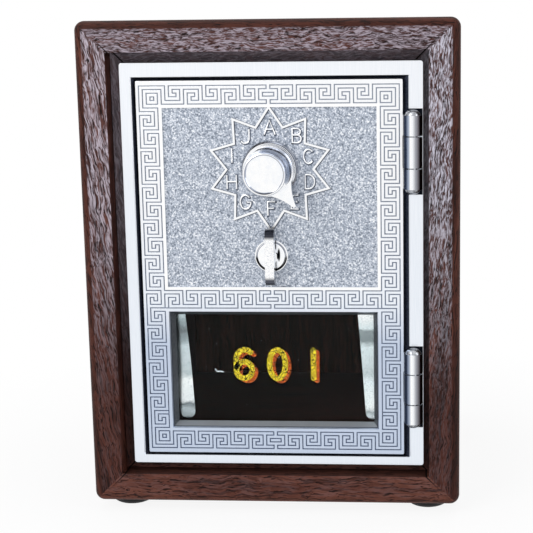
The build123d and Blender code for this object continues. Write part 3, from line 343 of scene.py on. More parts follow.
# Painted highlight: the door's face is painted brighter toward the top, and the frame's a little.
door_sheen_heights = (
    (20 * MM, "#CBD6E7"), (54 * MM, "#CBD6E7"), (68 * MM, "#F4F8FD"), (88 * MM, "#FBFCFE"),
    (108 * MM, "#FFFFFF"), (140 * MM, "#FFFFFF"),
)
frame_sheen_heights = ((20 * MM, "#F0F5FB"), (80 * MM, "#F2F6FB"), (140 * MM, "#F8FAFD"))
print("field from", round(field_low / MM, 1), "to", round(field_high / MM, 1), "mm about the middle")

# %% Colours that change with height


def height_colours(tree, height, colours):
    """The share of the way up, and a colour that blends from one (height, colour) to the next."""
    low, high = colours[0][0], colours[-1][0]
    level = add(tree, "MapRange", {0: height, 1: low, 2: high})
    stops = [((z - low) / (high - low), colour) for z, colour in colours]
    return level, add(tree, "ValToRGB", {0: level}, stops=stops)


print(len(door_sheen_heights), "colours up the door,", len(frame_sheen_heights), "up the frame")

# %% Masks on the door


def door_masks(tree, axes):
    """The painted shade line round the field, the field with its edge, and the door's outer rim."""
    off_x = add(tree, "Math", {0: axes["X"], 1: door_x}, operation="SUBTRACT")
    off_z = add(tree, "Math", {0: axes["Z"], 1: door_z}, operation="SUBTRACT")
    edge_x = add(tree, "Math", {0: off_x}, operation="ABSOLUTE")
    edge_z = add(tree, "Math", {0: off_z}, operation="ABSOLUTE")
    # A painted shade line along the field's edge, at the foot of the step down from the border.
    edge_shade = add(
        tree, "MapRange", {0: edge_x, 1: field_half_w - 0.34 * MM, 2: field_half_w - 0.2 * MM}
    )
    for start, end in (
        (field_high - 0.45 * MM, field_high - 0.25 * MM),
        (field_low + 0.34 * MM, field_low + 0.2 * MM),
    ):
        at_end = add(tree, "MapRange", {0: off_z, 1: start, 2: end})
        edge_shade = add(tree, "Math", {0: edge_shade, 1: at_end}, operation="MAXIMUM")
    inner = add(tree, "MapRange", {0: edge_x, 1: field_half_w, 2: field_half_w - 0.3 * MM})
    for start, end in ((field_low, field_low + 0.3 * MM), (field_high, field_high - 0.2 * MM)):
        within = add(tree, "MapRange", {0: off_z, 1: start, 2: end})
        inner = add(tree, "Math", {0: inner, 1: within}, operation="MULTIPLY")
    rims = [
        add(tree, "MapRange", {0: edge, 1: half - 0.2 * MM, 2: half - 0.05 * MM})
        for edge, half in ((edge_x, door_half_w), (edge_z, door_half_h))
    ]
    return edge_shade, inner, add(tree, "Math", {0: rims[0], 1: rims[1]}, operation="MAXIMUM")


print(f"the field ends {field_half_w / MM:.2f} mm to each side of the middle")

# %% Low parts of the door


def door_low_parts(tree, depth, sand, level, upward, edge_shade):
    """Grooves in painted shade, lighter toward the top; the sandy field with a painted shade line round
    its edge; and the drafted walls of the openings, lighter where they face up, as painted light.
    """
    # Painted shade: the grooves are dark blue-grey, painted lighter toward the top.
    groove_shade = add(tree, "ValToRGB", {0: sand}, stops=((0.3, "#566178"), (0.7, "#8591A8")))
    lighter_higher = add(tree, "Math", {0: level, 1: 0.32}, operation="MULTIPLY")
    groove_shade = add(tree, "Mix", {0: lighter_higher, 6: groove_shade, 7: "#E6EBF2"}, out=2, data_type="RGBA")
    blasted = add(tree, "ValToRGB", {0: sand}, stops=(
        (0.3, "#646C79"), (0.44, "#9DA5B2"), (0.56, "#C3CAD6"), (0.7, "#FFFFFF"),
    ))
    # The painted shade line at the field's edge.
    blasted = add(tree, "Mix", {0: edge_shade, 6: blasted, 7: "#34394A"}, out=2, data_type="RGBA")
    drafted = add(tree, "ValToRGB", {0: sand}, stops=((0.3, "#5B6066"), (0.7, "#80858B")))
    # Painted light: the drafted walls that face up are lighter.
    lit_from_above = add(tree, "MapRange", {0: upward, 1: 0.3, 2: 0.8})
    drafted = add(tree, "Mix", {0: lit_from_above, 6: drafted, 7: "#A4A9AF"}, out=2, data_type="RGBA")
    in_field = add(
        tree, "MapRange", {0: depth, 1: groove_floor + 0.02 * MM, 2: field_floor - 0.03 * MM}
    )
    past_field = add(
        tree, "MapRange", {0: depth, 1: field_floor + 0.05 * MM, 2: field_floor + 0.3 * MM}
    )
    below = add(tree, "Mix", {0: in_field, 6: groove_shade, 7: blasted}, out=2, data_type="RGBA")
    return add(tree, "Mix", {0: past_field, 6: below, 7: drafted}, out=2, data_type="RGBA")


print("grooves", groove_floor / MM, "mm and field", field_floor / MM, "mm behind the face")

# %% Casting material


def cast_metal(name, is_door):
    """Sanded bright at the face with a painted highlight toward the top, sandy in the field, painted
    shade in the grooves and gaps, a painted reflection on the knuckles.
    """
    made, tree, shader = new_material(name, metallic=1.0, roughness=0.3)
    place = add(tree, "TexCoord", out="Object")
    axes = add(tree, "SeparateXYZ", {0: place}, out=None)
    normal = add(tree, "SeparateXYZ", {0: add(tree, "TexCoord", out="Normal")}, out=None)
    depth = add(tree, "Math", {0: axes["Y"], 1: face_y}, operation="SUBTRACT")
    brush = add(tree, "Mapping", {
        "Vector": place, "Scale": (1 / (0.12 * MM), 1 / (2 * MM), 1 / (9 * MM)),
    })
    sanding = add(tree, "TexNoise", {"Vector": brush, "Scale": 1.0, "Detail": 2.0, "Roughness": 0.6})
    sand = add(tree, "TexNoise", {
        "Vector": place, "Scale": 1 / (0.46 * MM), "Detail": 2.0, "Roughness": 0.65,
    })
    fine = add(tree, "ValToRGB", {0: sanding}, stops=((0.3, "#F3F5F8"), (0.7, "#FEFEFF")))
    # The face colour blends with height, brighter toward the top, as a painted highlight.
    level, height_sheen = height_colours(tree, axes["Z"], door_sheen_heights if is_door else frame_sheen_heights)
    sanded = add(
        tree, "Mix", {0: 1.0, 6: height_sheen, 7: fine}, out=2, data_type="RGBA", blend_type="MULTIPLY"
    )
    # Painted shade: the frame's bevel and gap and the door's rim sides, deeper than the face, are dark
    # blue-grey.
    below = add(tree, "ValToRGB", {0: sand}, stops=((0.3, "#262A35"), (0.7, "#454B5B")))
    if is_door:
        edge_shade, inner, at_rim = door_masks(tree, axes)
        sanded = add(tree, "Mix", {0: inner, 6: sanded, 7: "#FFFFFF"}, out=2, data_type="RGBA")
        lower = door_low_parts(tree, depth, sand, level, normal["Z"], edge_shade)
        below = add(tree, "Mix", {0: at_rim, 6: lower, 7: below}, out=2, data_type="RGBA")
        deep = add(tree, "MapRange", {0: depth, 1: letter_top + 0.02 * MM, 2: letter_top + 0.07 * MM})
        behind = add(tree, "MapRange", {0: depth, 1: 0.2 * MM, 2: 0.4 * MM})
        # The door's rim sides, in the gap, take the dark painted shade too.
        rim_side = add(tree, "Math", {0: at_rim, 1: behind}, operation="MULTIPLY")
        deep = add(tree, "Math", {0: deep, 1: rim_side}, operation="MAXIMUM")
    else:
        deep = add(tree, "MapRange", {0: depth, 1: 0.22 * MM, 2: 0.4 * MM})
    colour = add(tree, "Mix", {0: deep, 6: sanded, 7: below}, out=2, data_type="RGBA")
    # Painted reflection on the knuckles: by how the surface turns, a bright band on the front and dark
    # bluish sides.
    knuckle = add(tree, "MapRange", {0: depth, 1: -0.02 * MM, 2: -0.1 * MM})
    turned_side = add(tree, "MapRange", {0: normal["X"], 1: -1.0, 2: 1.0})
    knuckle_reflection = add(tree, "ValToRGB", {0: turned_side}, stops=(
        (0.0, "#151B27"), (0.16, "#3F4B63"), (0.3, "#A9B4C6"), (0.38, "#FFFFFF"),
        (0.5, "#F4F6F9"), (0.64, "#A5A7AE"), (0.8, "#5C585E"), (1.0, "#1C181B"),
    ))
    colour = add(tree, "Mix", {0: knuckle, 6: colour, 7: knuckle_reflection}, out=2, data_type="RGBA")
    tree.links.new(colour, shader.inputs["Base Color"])
    rough = add(tree, "MapRange", {0: deep, 3: 0.32, 4: 0.55})
    smooth = add(tree, "MapRange", {0: knuckle, 3: 1.0, 4: 0.7})
    rough = add(tree, "Math", {0: rough, 1: smooth}, operation="MULTIPLY")
    tree.links.new(rough, shader.inputs["Roughness"])
    gritty = add(tree, "Math", {0: sand, 1: deep}, operation="MULTIPLY")
    grain = add(tree, "Bump", {"Height": gritty, "Strength": 0.6, "Distance": 0.12 * MM})
    skin = add(tree, "Bump", {
        "Height": sanding, "Strength": 0.1, "Distance": 0.01 * MM, "Normal": grain,
    })
    tree.links.new(skin, shader.inputs["Normal"])
    return made


print(f"the door's face is {(face_y - front_y) / MM:.2f} mm behind the case's front")

# %% Casting on the door and its frame
casting = cast_metal("die_cast_door", True)
dress(casting, "door_casting")
dress(cast_metal("die_cast_frame", False), "door_frame")
print("casting on the door and its frame")

# %% [markdown]
# ## Turned and polished parts, steel, brass, rubber, glass
# The lock's plates are zinc-plated sheet, which has a cloudy grey spangle. Its wheels are
# stamped brass and the case's screws turned brass: yellow, with fine marks one way. The
# hinge pins were tumbled, so their shine is uneven. The feet are moulded rubber with a satin
# skin. One function serves all the metals: it takes their two tones, their gloss, and the
# size of the marks.

# %% Small metal finishes


def worn_metal(name, dark, light, roughness, scratch_w, scratch_l, bump, cloud_size=5 * MM):
    """A metal whose colour and gloss wander a little, with fine marks one way."""
    made, tree, shader = new_material(name, metallic=1.0)
    place = add(tree, "TexCoord", out="Object")
    cloud = add(tree, "TexNoise", {
        "Vector": place, "Scale": 1 / cloud_size, "Detail": 4.0, "Roughness": 0.6,
    })
    marks_at = add(tree, "Mapping", {
        "Vector": place, "Scale": (1 / scratch_w, 1 / scratch_l, 1 / scratch_l),
    })
    marks = add(tree, "TexNoise", {"Vector": marks_at, "Scale": 1.0, "Detail": 2.0, "Roughness": 0.6})
    colour = add(tree, "ValToRGB", {0: cloud}, stops=((0.3, dark), (0.7, light)))
    tree.links.new(colour, shader.inputs["Base Color"])
    gloss = add(tree, "MapRange", {0: marks, 1: 0.3, 2: 0.7, 3: roughness * 0.75, 4: roughness * 1.3})
    tree.links.new(gloss, shader.inputs["Roughness"])
    lines = add(tree, "Bump", {"Height": marks, "Strength": bump, "Distance": 0.02 * MM})
    tree.links.new(lines, shader.inputs["Normal"])
    return made


pin_steel = worn_metal("tumbled_steel", "#5D5F66", "#D3D6DB", 0.3, 0.5 * MM, 0.5 * MM, 0.4, 0.9 * MM)
zinc_plate = worn_metal("zinc_plated_steel", "#8F9296", "#B9BCC0", 0.32, 0.2 * MM, 6 * MM, 0.3)
spring_steel = worn_metal("rolled_spring_steel", "#B9BFC2", "#E3E8EA", 0.2, 0.25 * MM, 8 * MM, 0.3)
stamped_brass = worn_metal("stamped_brass", "#A98A4A", "#D2B36C", 0.28, 0.25 * MM, 5 * MM, 0.3)
screw_brass = worn_metal("turned_brass", "#9C7C3E", "#CDAA5E", 0.25, 0.2 * MM, 2 * MM, 0.3)
dress(pin_steel, "hinge_pin_upper", "hinge_pin_lower")
dress(
    zinc_plate, "lock_plate", "lock_back_plate", "lock_screws", "bolt_keeper", "keeper_screws",
    "clip_screws", "frame_screws", "dial_spindle", "thumb_spindle", "crank_pin",
)
dress(spring_steel, "bolt_spring", "dial_spindle_clip", "thumb_spindle_clip")
dress(
    stamped_brass, "dial_bush_nut", "thumb_bush_nut", "lock_pillars", "knob_washer", "drive_wheel",
    "middle_wheel", "rear_wheel", "wheel_spacers", "bolt_cam", "cam_collar", "latch_bolt",
)
dress(screw_brass, "back_screws")
print("five metals on the lock, the pins and the screws")

# %% [markdown]
# The dial knob and the thumb turn were turned, polished and plated, and stand in bushes of
# the same finish. What the hand touches stays bright: the knob's face, its pointer, the front
# of the thumb turn. On the knob's flank, away from the light, and on every surface turned up and
# to the right lies a painted blue-grey reflection. Painted shade lines lie in the rings round
# both, some of them only below the axis as painted shadow. Each of these marks has its place on
# the part: a distance from its axis, a height, or the way the surface is turned.

# %% Marks on the thumb turn
blade_front_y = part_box("thumb_turn")[0].y + 1.0 * MM
blade_flat = 5.9 * MM
blade_shadow_at = (2.35 * MM, 0.4 * MM)
blade_shadow_size = (0.46 * MM, 2.1 * MM)


def blade_marks(tree, colour, place, turned, spoke, off_z):
    """The painted shadow beside the blade, its grainy front, and its ends that are bent back, darkened
    as painted shade.
    """
    (mark_x, mark_z), (half_w, half_h) = blade_shadow_at, blade_shadow_size
    stretched = add(tree, "Mapping", {
        "Vector": spoke, "Location": (-mark_x / half_w, -mark_z / half_h, 0),
        "Scale": (1 / half_w, 1 / half_h, 1),
    })
    # Painted shadow: a dark ellipse on the disc beside the blade.
    away = add(tree, "VectorMath", {0: stretched}, out="Value", operation="LENGTH")
    mark = add(tree, "MapRange", {0: away, 1: 1.1, 2: 0.7})
    colour = add(tree, "Mix", {0: mark, 6: colour, 7: "#0B0C10"}, out=2, data_type="RGBA")
    grit = add(tree, "TexNoise", {"Vector": place, "Scale": 1 / (0.3 * MM), "Detail": 2.0})
    rubbed_front = add(tree, "ValToRGB", {0: grit}, stops=((0.34, "#DEE1E7"), (0.5, "#FFFFFF")))
    level = add(tree, "SeparateXYZ", {0: place}, out="Y")
    in_front = add(tree, "MapRange", {0: level, 1: blade_front_y + 0.1 * MM, 2: blade_front_y})
    facing = add(tree, "SeparateXYZ", {0: turned}, out="Y")
    flat = add(tree, "MapRange", {0: facing, 1: -0.9, 2: -0.98})
    in_front = add(tree, "Math", {0: in_front, 1: flat}, operation="MULTIPLY")
    colour = add(tree, "Mix", {0: in_front, 6: colour, 7: rubbed_front}, out=2, data_type="RGBA")
    # Painted shade on the blade's bent ends, the upper one darker.
    for sign, end_shade in ((1, "#3A3C44"), (-1, "#53565F")):
        start, full = sign * (blade_flat - 0.3 * MM), sign * (blade_flat + 0.8 * MM)
        end = add(tree, "MapRange", {0: off_z, 1: start, 2: full})
        colour = add(tree, "Mix", {0: end, 6: colour, 7: end_shade}, out=2, data_type="RGBA")
    return colour


print(f"the rubbed front starts {(face_y - blade_front_y) / MM:.2f} mm before the door's face")

# %% Plated finish


def plated(name, axis_z, rings, shade, is_blade=False):
    """Polished plating round an axis. Rings are (radius, half width, how low, colour): painted
    shade lines at the steps; a ring shows where the height over the axis, in radii, is below how
    low, so some are painted shadow crescents. Shade is the strength of a painted blue-grey reflection on
    surfaces turned up and to the right."""
    made, tree, shader = new_material(name, metallic=1.0, roughness=0.14)
    place = add(tree, "TexCoord", out="Object")
    axes = add(tree, "SeparateXYZ", {0: place}, out=None)
    turned = add(tree, "TexCoord", out="Normal")
    cloud = add(tree, "TexNoise", {"Vector": place, "Scale": 1 / (1.6 * MM), "Detail": 4.0})
    colour = add(tree, "ValToRGB", {0: cloud}, stops=((0.35, "#F7F9FC"), (0.65, "#FFFFFF")))
    up_right = add(
        tree, "VectorMath", {0: turned, 1: (0.72, 0.0, 0.69)}, out="Value", operation="DOT_PRODUCT"
    )
    # Painted reflection: surfaces turned up and to the right are blue-grey.
    up_right_reflection = add(tree, "ValToRGB", {0: up_right}, stops=((0.18, 0.0), (0.5, shade), (0.9, shade * 0.8)))
    colour = add(tree, "Mix", {0: up_right_reflection, 6: colour, 7: "#8391AD"}, out=2, data_type="RGBA")
    off_x = add(tree, "Math", {0: axes["X"], 1: door_x}, operation="SUBTRACT")
    off_z = add(tree, "Math", {0: axes["Z"], 1: axis_z}, operation="SUBTRACT")
    spoke = add(tree, "CombineXYZ", {0: off_x, 1: off_z})
    radius = add(tree, "VectorMath", {0: spoke}, out="Value", operation="LENGTH")
    height = add(tree, "Math", {0: off_z, 1: radius}, operation="DIVIDE")
    for ring_r, half_w, below, ring_shade in rings:
        off_ring = add(tree, "Math", {0: radius, 1: ring_r}, operation="SUBTRACT")
        off_ring = add(tree, "Math", {0: off_ring}, operation="ABSOLUTE")
        on_ring = add(tree, "MapRange", {0: off_ring, 1: half_w, 2: half_w * 0.5})
        low_enough = add(tree, "MapRange", {0: height, 1: below + 0.1, 2: below - 0.1})
        on_ring = add(tree, "Math", {0: on_ring, 1: low_enough}, operation="MULTIPLY")
        colour = add(tree, "Mix", {0: on_ring, 6: colour, 7: ring_shade}, out=2, data_type="RGBA")
    if is_blade:
        colour = blade_marks(tree, colour, place, turned, spoke, off_z)
    tree.links.new(colour, shader.inputs["Base Color"])
    gloss = add(tree, "MapRange", {0: cloud, 1: 0.3, 2: 0.7, 3: 0.1, 4: 0.18})
    tree.links.new(gloss, shader.inputs["Roughness"])
    bump = add(tree, "Bump", {"Height": cloud, "Strength": 0.08, "Distance": 0.02 * MM})
    tree.links.new(bump, shader.inputs["Normal"])
    return made


print(f"dial axis at z {dial_z / MM:.2f} mm, thumb turn's at z {thumb_z / MM:.2f} mm")

# %% Knob, thumb turn and bushes
all_round = 2.0
# Rings of painted shade at the steps round the knob, the thumb turn and their bushes; those shown only
# low down are painted shadow crescents under the rims.
knob_shade_rings = (
    (5.75 * MM, 0.17 * MM, all_round, "#9CA0AD"), (5.75 * MM, 0.26 * MM, -0.9, "#3A3B42"),
)
dial_bush_shade_rings = (
    (8.15 * MM, 0.16 * MM, all_round, "#4C505A"), (8.5 * MM, 0.2 * MM, all_round, "#8D929E"),
)
thumb_shade_rings = (
    (4.3 * MM, 0.16 * MM, all_round, "#8B90A0"), (4.3 * MM, 0.24 * MM, -0.1, "#0B0C10"),
)
thumb_bush_shade_rings = (
    (4.6 * MM, 0.12 * MM, all_round, "#9A9EAA"), (4.62 * MM, 0.34 * MM, -0.05, "#07080B"),
)
dress(plated("plated_knob", dial_z, knob_shade_rings, 0.8), "dial_knob")
dress(plated("plated_dial_bush", dial_z, dial_bush_shade_rings, 0.7), "dial_bush")
dress(plated("plated_thumb_turn", thumb_z, thumb_shade_rings, 0.5, is_blade=True), "thumb_turn")
dress(plated("plated_thumb_bush", thumb_z, thumb_bush_shade_rings, 0.4), "thumb_bush")
print("knob and thumb turn plated, each with its bush")

# %% Rubber and glass


def moulded_rubber(name):
    """Black rubber with the fine grain of a blasted mould."""
    made, tree, shader = new_material(name, roughness=0.6, ior=1.52, specular_ior_level=0.2)
    place = add(tree, "TexCoord", out="Object")
    grain = add(tree, "TexNoise", {"Vector": place, "Scale": 1 / (0.3 * MM), "Detail": 3.0})
    colour = add(tree, "ValToRGB", {0: grain}, stops=((0.3, "#0C0C0D"), (0.7, "#1A1A1C")))
    tree.links.new(colour, shader.inputs["Base Color"])
    skin = add(tree, "Bump", {"Height": grain, "Strength": 0.3, "Distance": 0.05 * MM})
    tree.links.new(skin, shader.inputs["Normal"])
    return made


def sheet_glass(name):
    """Clear sheet glass with a faint film of dust; light passes it to reach what is behind."""
    made, tree, shader = new_material(name, roughness=0.02, ior=1.15, transmission_weight=1.0)
    place = add(tree, "TexCoord", out="Object")
    film = add(tree, "TexNoise", {"Vector": place, "Scale": 1 / (6 * MM), "Detail": 4.0})
    colour = add(tree, "ValToRGB", {0: film}, stops=((0.3, "#F4F8F8"), (0.8, "#FFFFFF")))
    tree.links.new(colour, shader.inputs["Base Color"])
    open_way = add(tree, "BsdfTransparent", {"Color": "#F2F6F6"})
    shadow = add(tree, "LightPath", out="Is Shadow Ray")
    both = add(tree, "MixShader", {0: shadow, 1: shader.outputs["BSDF"], 2: open_way})
    tree.links.new(both, tree.nodes["Material Output"].inputs["Surface"])
    return made


dress(moulded_rubber("moulded_rubber"), *(n for n in nodes if n.startswith("foot_")))
dress(sheet_glass("sheet_glass"), "window_glass")
print("glass", round((glass_high.y - glass_low.y) / MM, 2), "mm thick")

# %% [markdown]
# ## The key border
# The border is the old Greek key: one thin line that winds in square hooks, from both edges
# of a band at once. On the casting the line is a groove, and what stands beside it is the
# land. All its lines lie on one lattice of 69 by 103 spaces, so the pattern is written as
# paths on lattice points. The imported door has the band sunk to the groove's floor. Here the
# lands are built back up to the door's face: every lattice cell, and every strip between two
# cells where no path runs. That gives true grooves that catch light and shade.

# %% Lattice of the border
columns, rows = 69, 103
band_cells = 5
mid_top, mid_bottom = 57, 62
groove_w = 0.33 * MM
rim_side, rim_end = 1.05 * MM, 1.525 * MM
pitch_x = 2 * (door_half_w - rim_side) / columns
pitch_z = 2 * (door_half_h - rim_end) / rows
grooves = set()


def cut(*points):
    """Marks the lattice edges along a path as groove, with its mirror image on the left."""
    for (i0, j0), (i1, j1) in zip(points, points[1:]):
        steps = max(abs(i1 - i0), abs(j1 - j0))
        for step in range(steps):
            a = (i0 + (i1 - i0) * step // steps, j0 + (j1 - j0) * step // steps)
            b = (i0 + (i1 - i0) * (step + 1) // steps, j0 + (j1 - j0) * (step + 1) // steps)
            for start, end in ((a, b), ((columns - a[0], a[1]), (columns - b[0], b[1]))):
                grooves.add((min(start, end), max(start, end)))


def cut_both_ends(*points):
    """The same path in the top band and, upside down, in the bottom band."""
    cut(*points)
    cut(*((i, rows - j) for i, j in points))


print(f"lattice spaces {pitch_x / MM:.3f} mm wide and {pitch_z / MM:.3f} mm high")

# %% Square hooks
hook_repeat = 10
hook_steps = (
    (3, 0), (3, 3), (1, 3), (1, 2), (2, 2), (2, 1), (0, 1), (0, 4), (4, 4), (4, 0), (13, 0),
)


def hooks(left, edge, inward, count):
    """Paths of square hooks that hang from one edge of a level band, each run on to the next."""
    for index in range(count):
        steps = hook_steps if index < count - 1 else hook_steps[:-1]
        yield [(left + hook_repeat * index + a, edge + inward * b) for a, b in steps]


print(f"a hook comes back every {hook_repeat * pitch_x / MM:.2f} mm")

# %% Top, bottom and middle bands
for path in (*hooks(38, 0, 1, 3), *hooks(43, 5, -1, 2)):
    cut_both_ends(*path)
for path in (*hooks(45, mid_top, 1, 2), *hooks(40, mid_bottom, -1, 3)):
    cut(*path)
cut_both_ends((62, 0), (69, 0), (69, 7))
cut_both_ends((57, 5), (63, 5), (63, 1), (68, 1), (68, 6), (64, 6), (64, 12))
cut_both_ends((41, 0), (35, 0), (35, 1), (37, 1), (37, 4), (35, 4), (35, 5), (46, 5))
cut_both_ends((33, 2), (36, 2), (36, 3), (33, 3))
cut_both_ends((64, 2), (67, 2), (67, 5), (64, 5), (64, 2))
cut_both_ends((65, 3), (66, 3), (66, 4), (65, 4), (65, 3))

cut((48, 57), (39, 57), (39, 61), (35, 61), (35, 62), (43, 62))
cut((35, 57), (35, 58), (37, 58), (37, 60), (38, 60), (38, 57), (35, 57))
cut((33, 59), (36, 59), (36, 60), (33, 60))
print(len(grooves), "lattice edges so far")

# %% Side bands
side_steps = (
    (0, 0), (4, 0), (4, 4), (1, 4), (1, 2), (2, 2), (2, 3), (3, 3), (3, 1), (0, 1), (0, 10),
)
broken_by_bar = (4, 8)
for index in range(9):
    for edge, inward, first in ((69, -1, 7), (64, 1, 12)):
        stops_here = inward == 1 and index in broken_by_bar
        steps = side_steps[:-1] if stops_here else side_steps
        cut(*((edge + inward * a, first + hook_repeat * index + b) for a, b in steps))
cut((64, 53), (64, 57), (59, 57))
cut((59, 62), (64, 62))
cut((64, 58), (64, 62))
print(len(grooves), "lattice edges carry a groove")

# %% [markdown]
# Each lattice line becomes two grid lines, one at each wall of the groove. A square of this
# finer grid is a cell, a strip along an edge, or a node where lines cross. The mesh is the
# set of squares that stay land, with walls down to the groove's floor and a small round on
# every edge, as a casting has.

# %% New pieces


def in_order(parts, place):
    """Puts a working mesh's corners or faces in the order of their places, the same each run."""
    ranks = {part: rank for rank, part in enumerate(sorted(parts, key=lambda p: place(p)[:]))}
    parts.sort(key=ranks.get)


def finished_mesh(shape, name):
    """Turns a working mesh's faces outward and returns it as a mesh of that name."""
    bmesh.ops.recalc_face_normals(shape, faces=shape.faces)
    in_order(shape.verts, lambda corner: corner.co)
    in_order(shape.faces, lambda face: face.calc_center_median())
    mesh = bpy.data.meshes.new(name)
    shape.to_mesh(mesh)
    shape.free()
    return mesh


def place_piece(name, data, material, body):
    """Links a new piece, gives it its finish and lets it ride a body."""
    piece = bpy.data.objects.new(name, data)
    bpy.context.scene.collection.objects.link(piece)
    piece.data.materials.append(material)
    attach(piece, body)
    return piece


print(len(bpy.data.materials), "materials so far, the packed model's plain ones among them")

# %% Which squares are land


def in_band(i, j):
    """Whether a lattice cell belongs to the border or to the bar between field and window."""
    if not (0 <= i < columns and 0 <= j < rows):
        return False
    across = i < band_cells or i >= columns - band_cells
    ends = j < band_cells or j >= rows - band_cells
    return across or ends or mid_top <= j < mid_bottom


def is_land(a, b):
    """Whether a square of the finer grid stands at the door's face."""
    i, j = a // 2, b // 2
    if a % 2 and b % 2:
        return in_band(i, j)
    if b % 2:
        beside = in_band(i - 1, j) or in_band(i, j)
        return beside and ((i, j), (i, j + 1)) not in grooves
    if a % 2:
        beside = in_band(i, j - 1) or in_band(i, j)
        return beside and ((i, j), (i + 1, j)) not in grooves
    beside = any(in_band(i - p, j - q) for p in (0, 1) for q in (0, 1))
    crossing = [((i - 1, j), (i, j)), ((i, j), (i + 1, j)), ((i, j - 1), (i, j)), ((i, j), (i, j + 1))]
    return beside and not any(edge in grooves for edge in crossing)


print(sum(in_band(i, j) for i in range(columns) for j in range(rows)), "lattice cells in the bands")

# %% Lands of the border
land_edge_r = 0.08 * MM


def grid_place(a, b):
    """Where a corner of the finer grid lies on the door's face."""
    x = (a // 2 - columns / 2) * pitch_x + (groove_w / 2 if a % 2 else -groove_w / 2)
    z = (rows / 2 - b // 2) * pitch_z - (groove_w / 2 if b % 2 else -groove_w / 2)
    return Vector((door_x + x, face_y, door_z + z))


def at_band_edge(edge):
    """Whether a mesh edge lies on the band's own edge, where the land goes on into the door."""
    middle = (edge.verts[0].co + edge.verts[1].co) / 2
    x = (middle.x - door_x) / pitch_x + columns / 2
    z = rows / 2 - (middle.z - door_z) / pitch_z
    reach = groove_w / 2 * 1.05
    inner_x = min(abs(x - band_cells), abs(x - columns + band_cells)) * pitch_x
    inner_z = min(abs(z - band_cells), abs(z - rows + band_cells)) * pitch_z
    bar_z = min(abs(z - mid_top), abs(z - mid_bottom)) * pitch_z
    outside = not (0 <= x <= columns and 0 <= z <= rows)
    between = band_cells < x < columns - band_cells and band_cells < z < rows - band_cells
    near_side = inner_x < reach and not (mid_top < z < mid_bottom)
    return outside or (between and (near_side or inner_z < reach or bar_z < reach))


def build_lands():
    """The border's lands as one mesh. Edges at the band's edge stay sharp."""
    shape = bmesh.new()
    corners = {}
    land = {(a, b) for a in range(2 * columns + 1) for b in range(2 * rows + 1) if is_land(a, b)}
    for a, b in sorted(land):
        square = []
        for corner in ((a, b + 1), (a + 1, b + 1), (a + 1, b), (a, b)):
            if corner not in corners:
                corners[corner] = shape.verts.new(grid_place(*corner))
            square.append(corners[corner])
        shape.faces.new(square)
    outline = [edge for edge in shape.edges if len(edge.link_faces) == 1]
    rounded = [edge for edge in outline if not at_band_edge(edge)]
    walls = bmesh.ops.extrude_edge_only(shape, edges=outline)
    lowered = [v for v in walls["geom"] if isinstance(v, bmesh.types.BMVert)]
    bmesh.ops.translate(shape, verts=lowered, vec=(0, groove_floor, 0))
    bmesh.ops.bevel(
        shape, geom=rounded, offset=land_edge_r, offset_type="OFFSET", segments=2, profile=0.6,
        affect="EDGES", clamp_overlap=True,
    )
    return finished_mesh(shape, "key_border_lands")


lands = place_piece("key_border_lands", build_lands(), casting, "door")
print(len(lands.data.polygons), "faces in the border")

# %% [markdown]
# ## Letters round the dial
# Ten plain capitals in a ring are the dial's scale. On the casting they are narrow ridges of
# even width with round tops. Each is drawn with a few straight and curved strokes in a box
# one unit high, and a curve with a round section makes the ridge. The pattern was cut by hand,
# so some letters stand a little off their spoke of the star. Along the foot of every ridge, of
# the letters and of the star round them, lies a painted shadow: a thin dark band, moved below
# and to the right of the ridge.

# %% Strokes of the letters


def bow(centre_x, centre_z, radius_x, radius_z, start, end, steps=14):
    """Points along an elliptic arc, angles in degrees."""
    turns = [math.radians(start + (end - start) * k / steps) for k in range(steps + 1)]
    return [(centre_x + radius_x * math.cos(t), centre_z + radius_z * math.sin(t)) for t in turns]


strokes = {
    "A": [[(-0.38, 0), (0, 1), (0.38, 0)], [(-0.24, 0.36), (0.24, 0.36)]],
    "B": [
        [(-0.3, 0), (-0.3, 1), *bow(0.02, 0.77, 0.25, 0.23, 90, -90), (-0.3, 0.54)],
        [(-0.02, 0.54), *bow(0.04, 0.27, 0.28, 0.27, 90, -90), (-0.3, 0)],
    ],
    "C": [bow(0.04, 0.5, 0.36, 0.5, 42, 318, 22)],
    "D": [[(-0.32, 0), (-0.32, 1), *bow(-0.08, 0.5, 0.42, 0.5, 90, -90), (-0.32, 0)]],
    "E": [[(0.28, 1), (-0.26, 1), (-0.26, 0), (0.28, 0)], [(-0.26, 0.52), (0.2, 0.52)]],
    "F": [[(0.28, 1), (-0.26, 1), (-0.26, 0)], [(-0.26, 0.52), (0.18, 0.52)]],
    "G": [[*bow(0.0, 0.5, 0.38, 0.5, 42, 360, 24), (0.1, 0.5)]],
    "H": [[(-0.34, 0), (-0.34, 1)], [(0.34, 0), (0.34, 1)], [(-0.34, 0.52), (0.34, 0.52)]],
    "I": [[(0, 0), (0, 1)]],
    "J": [[(0.26, 1), *bow(-0.04, 0.3, 0.3, 0.3, 0, -150)]],
}
print(sum(len(lines) for lines in strokes.values()), "strokes in", len(strokes), "letters")

# %% Letters on the ring
nudges_mm = {
    "A": (0.1, 0.25), "B": (0.95, 0.1), "C": (-0.2, 0), "D": (0.2, 0), "F": (0.15, 0.35),
    "G": (-0.45, 0), "I": (0.2, 0.4),
}
letter_h = 4.3 * MM
letter_ring_r = 12.45 * MM
letter_ridge_r = 0.3 * MM
letter_axis_y = face_y + letter_top + letter_ridge_r


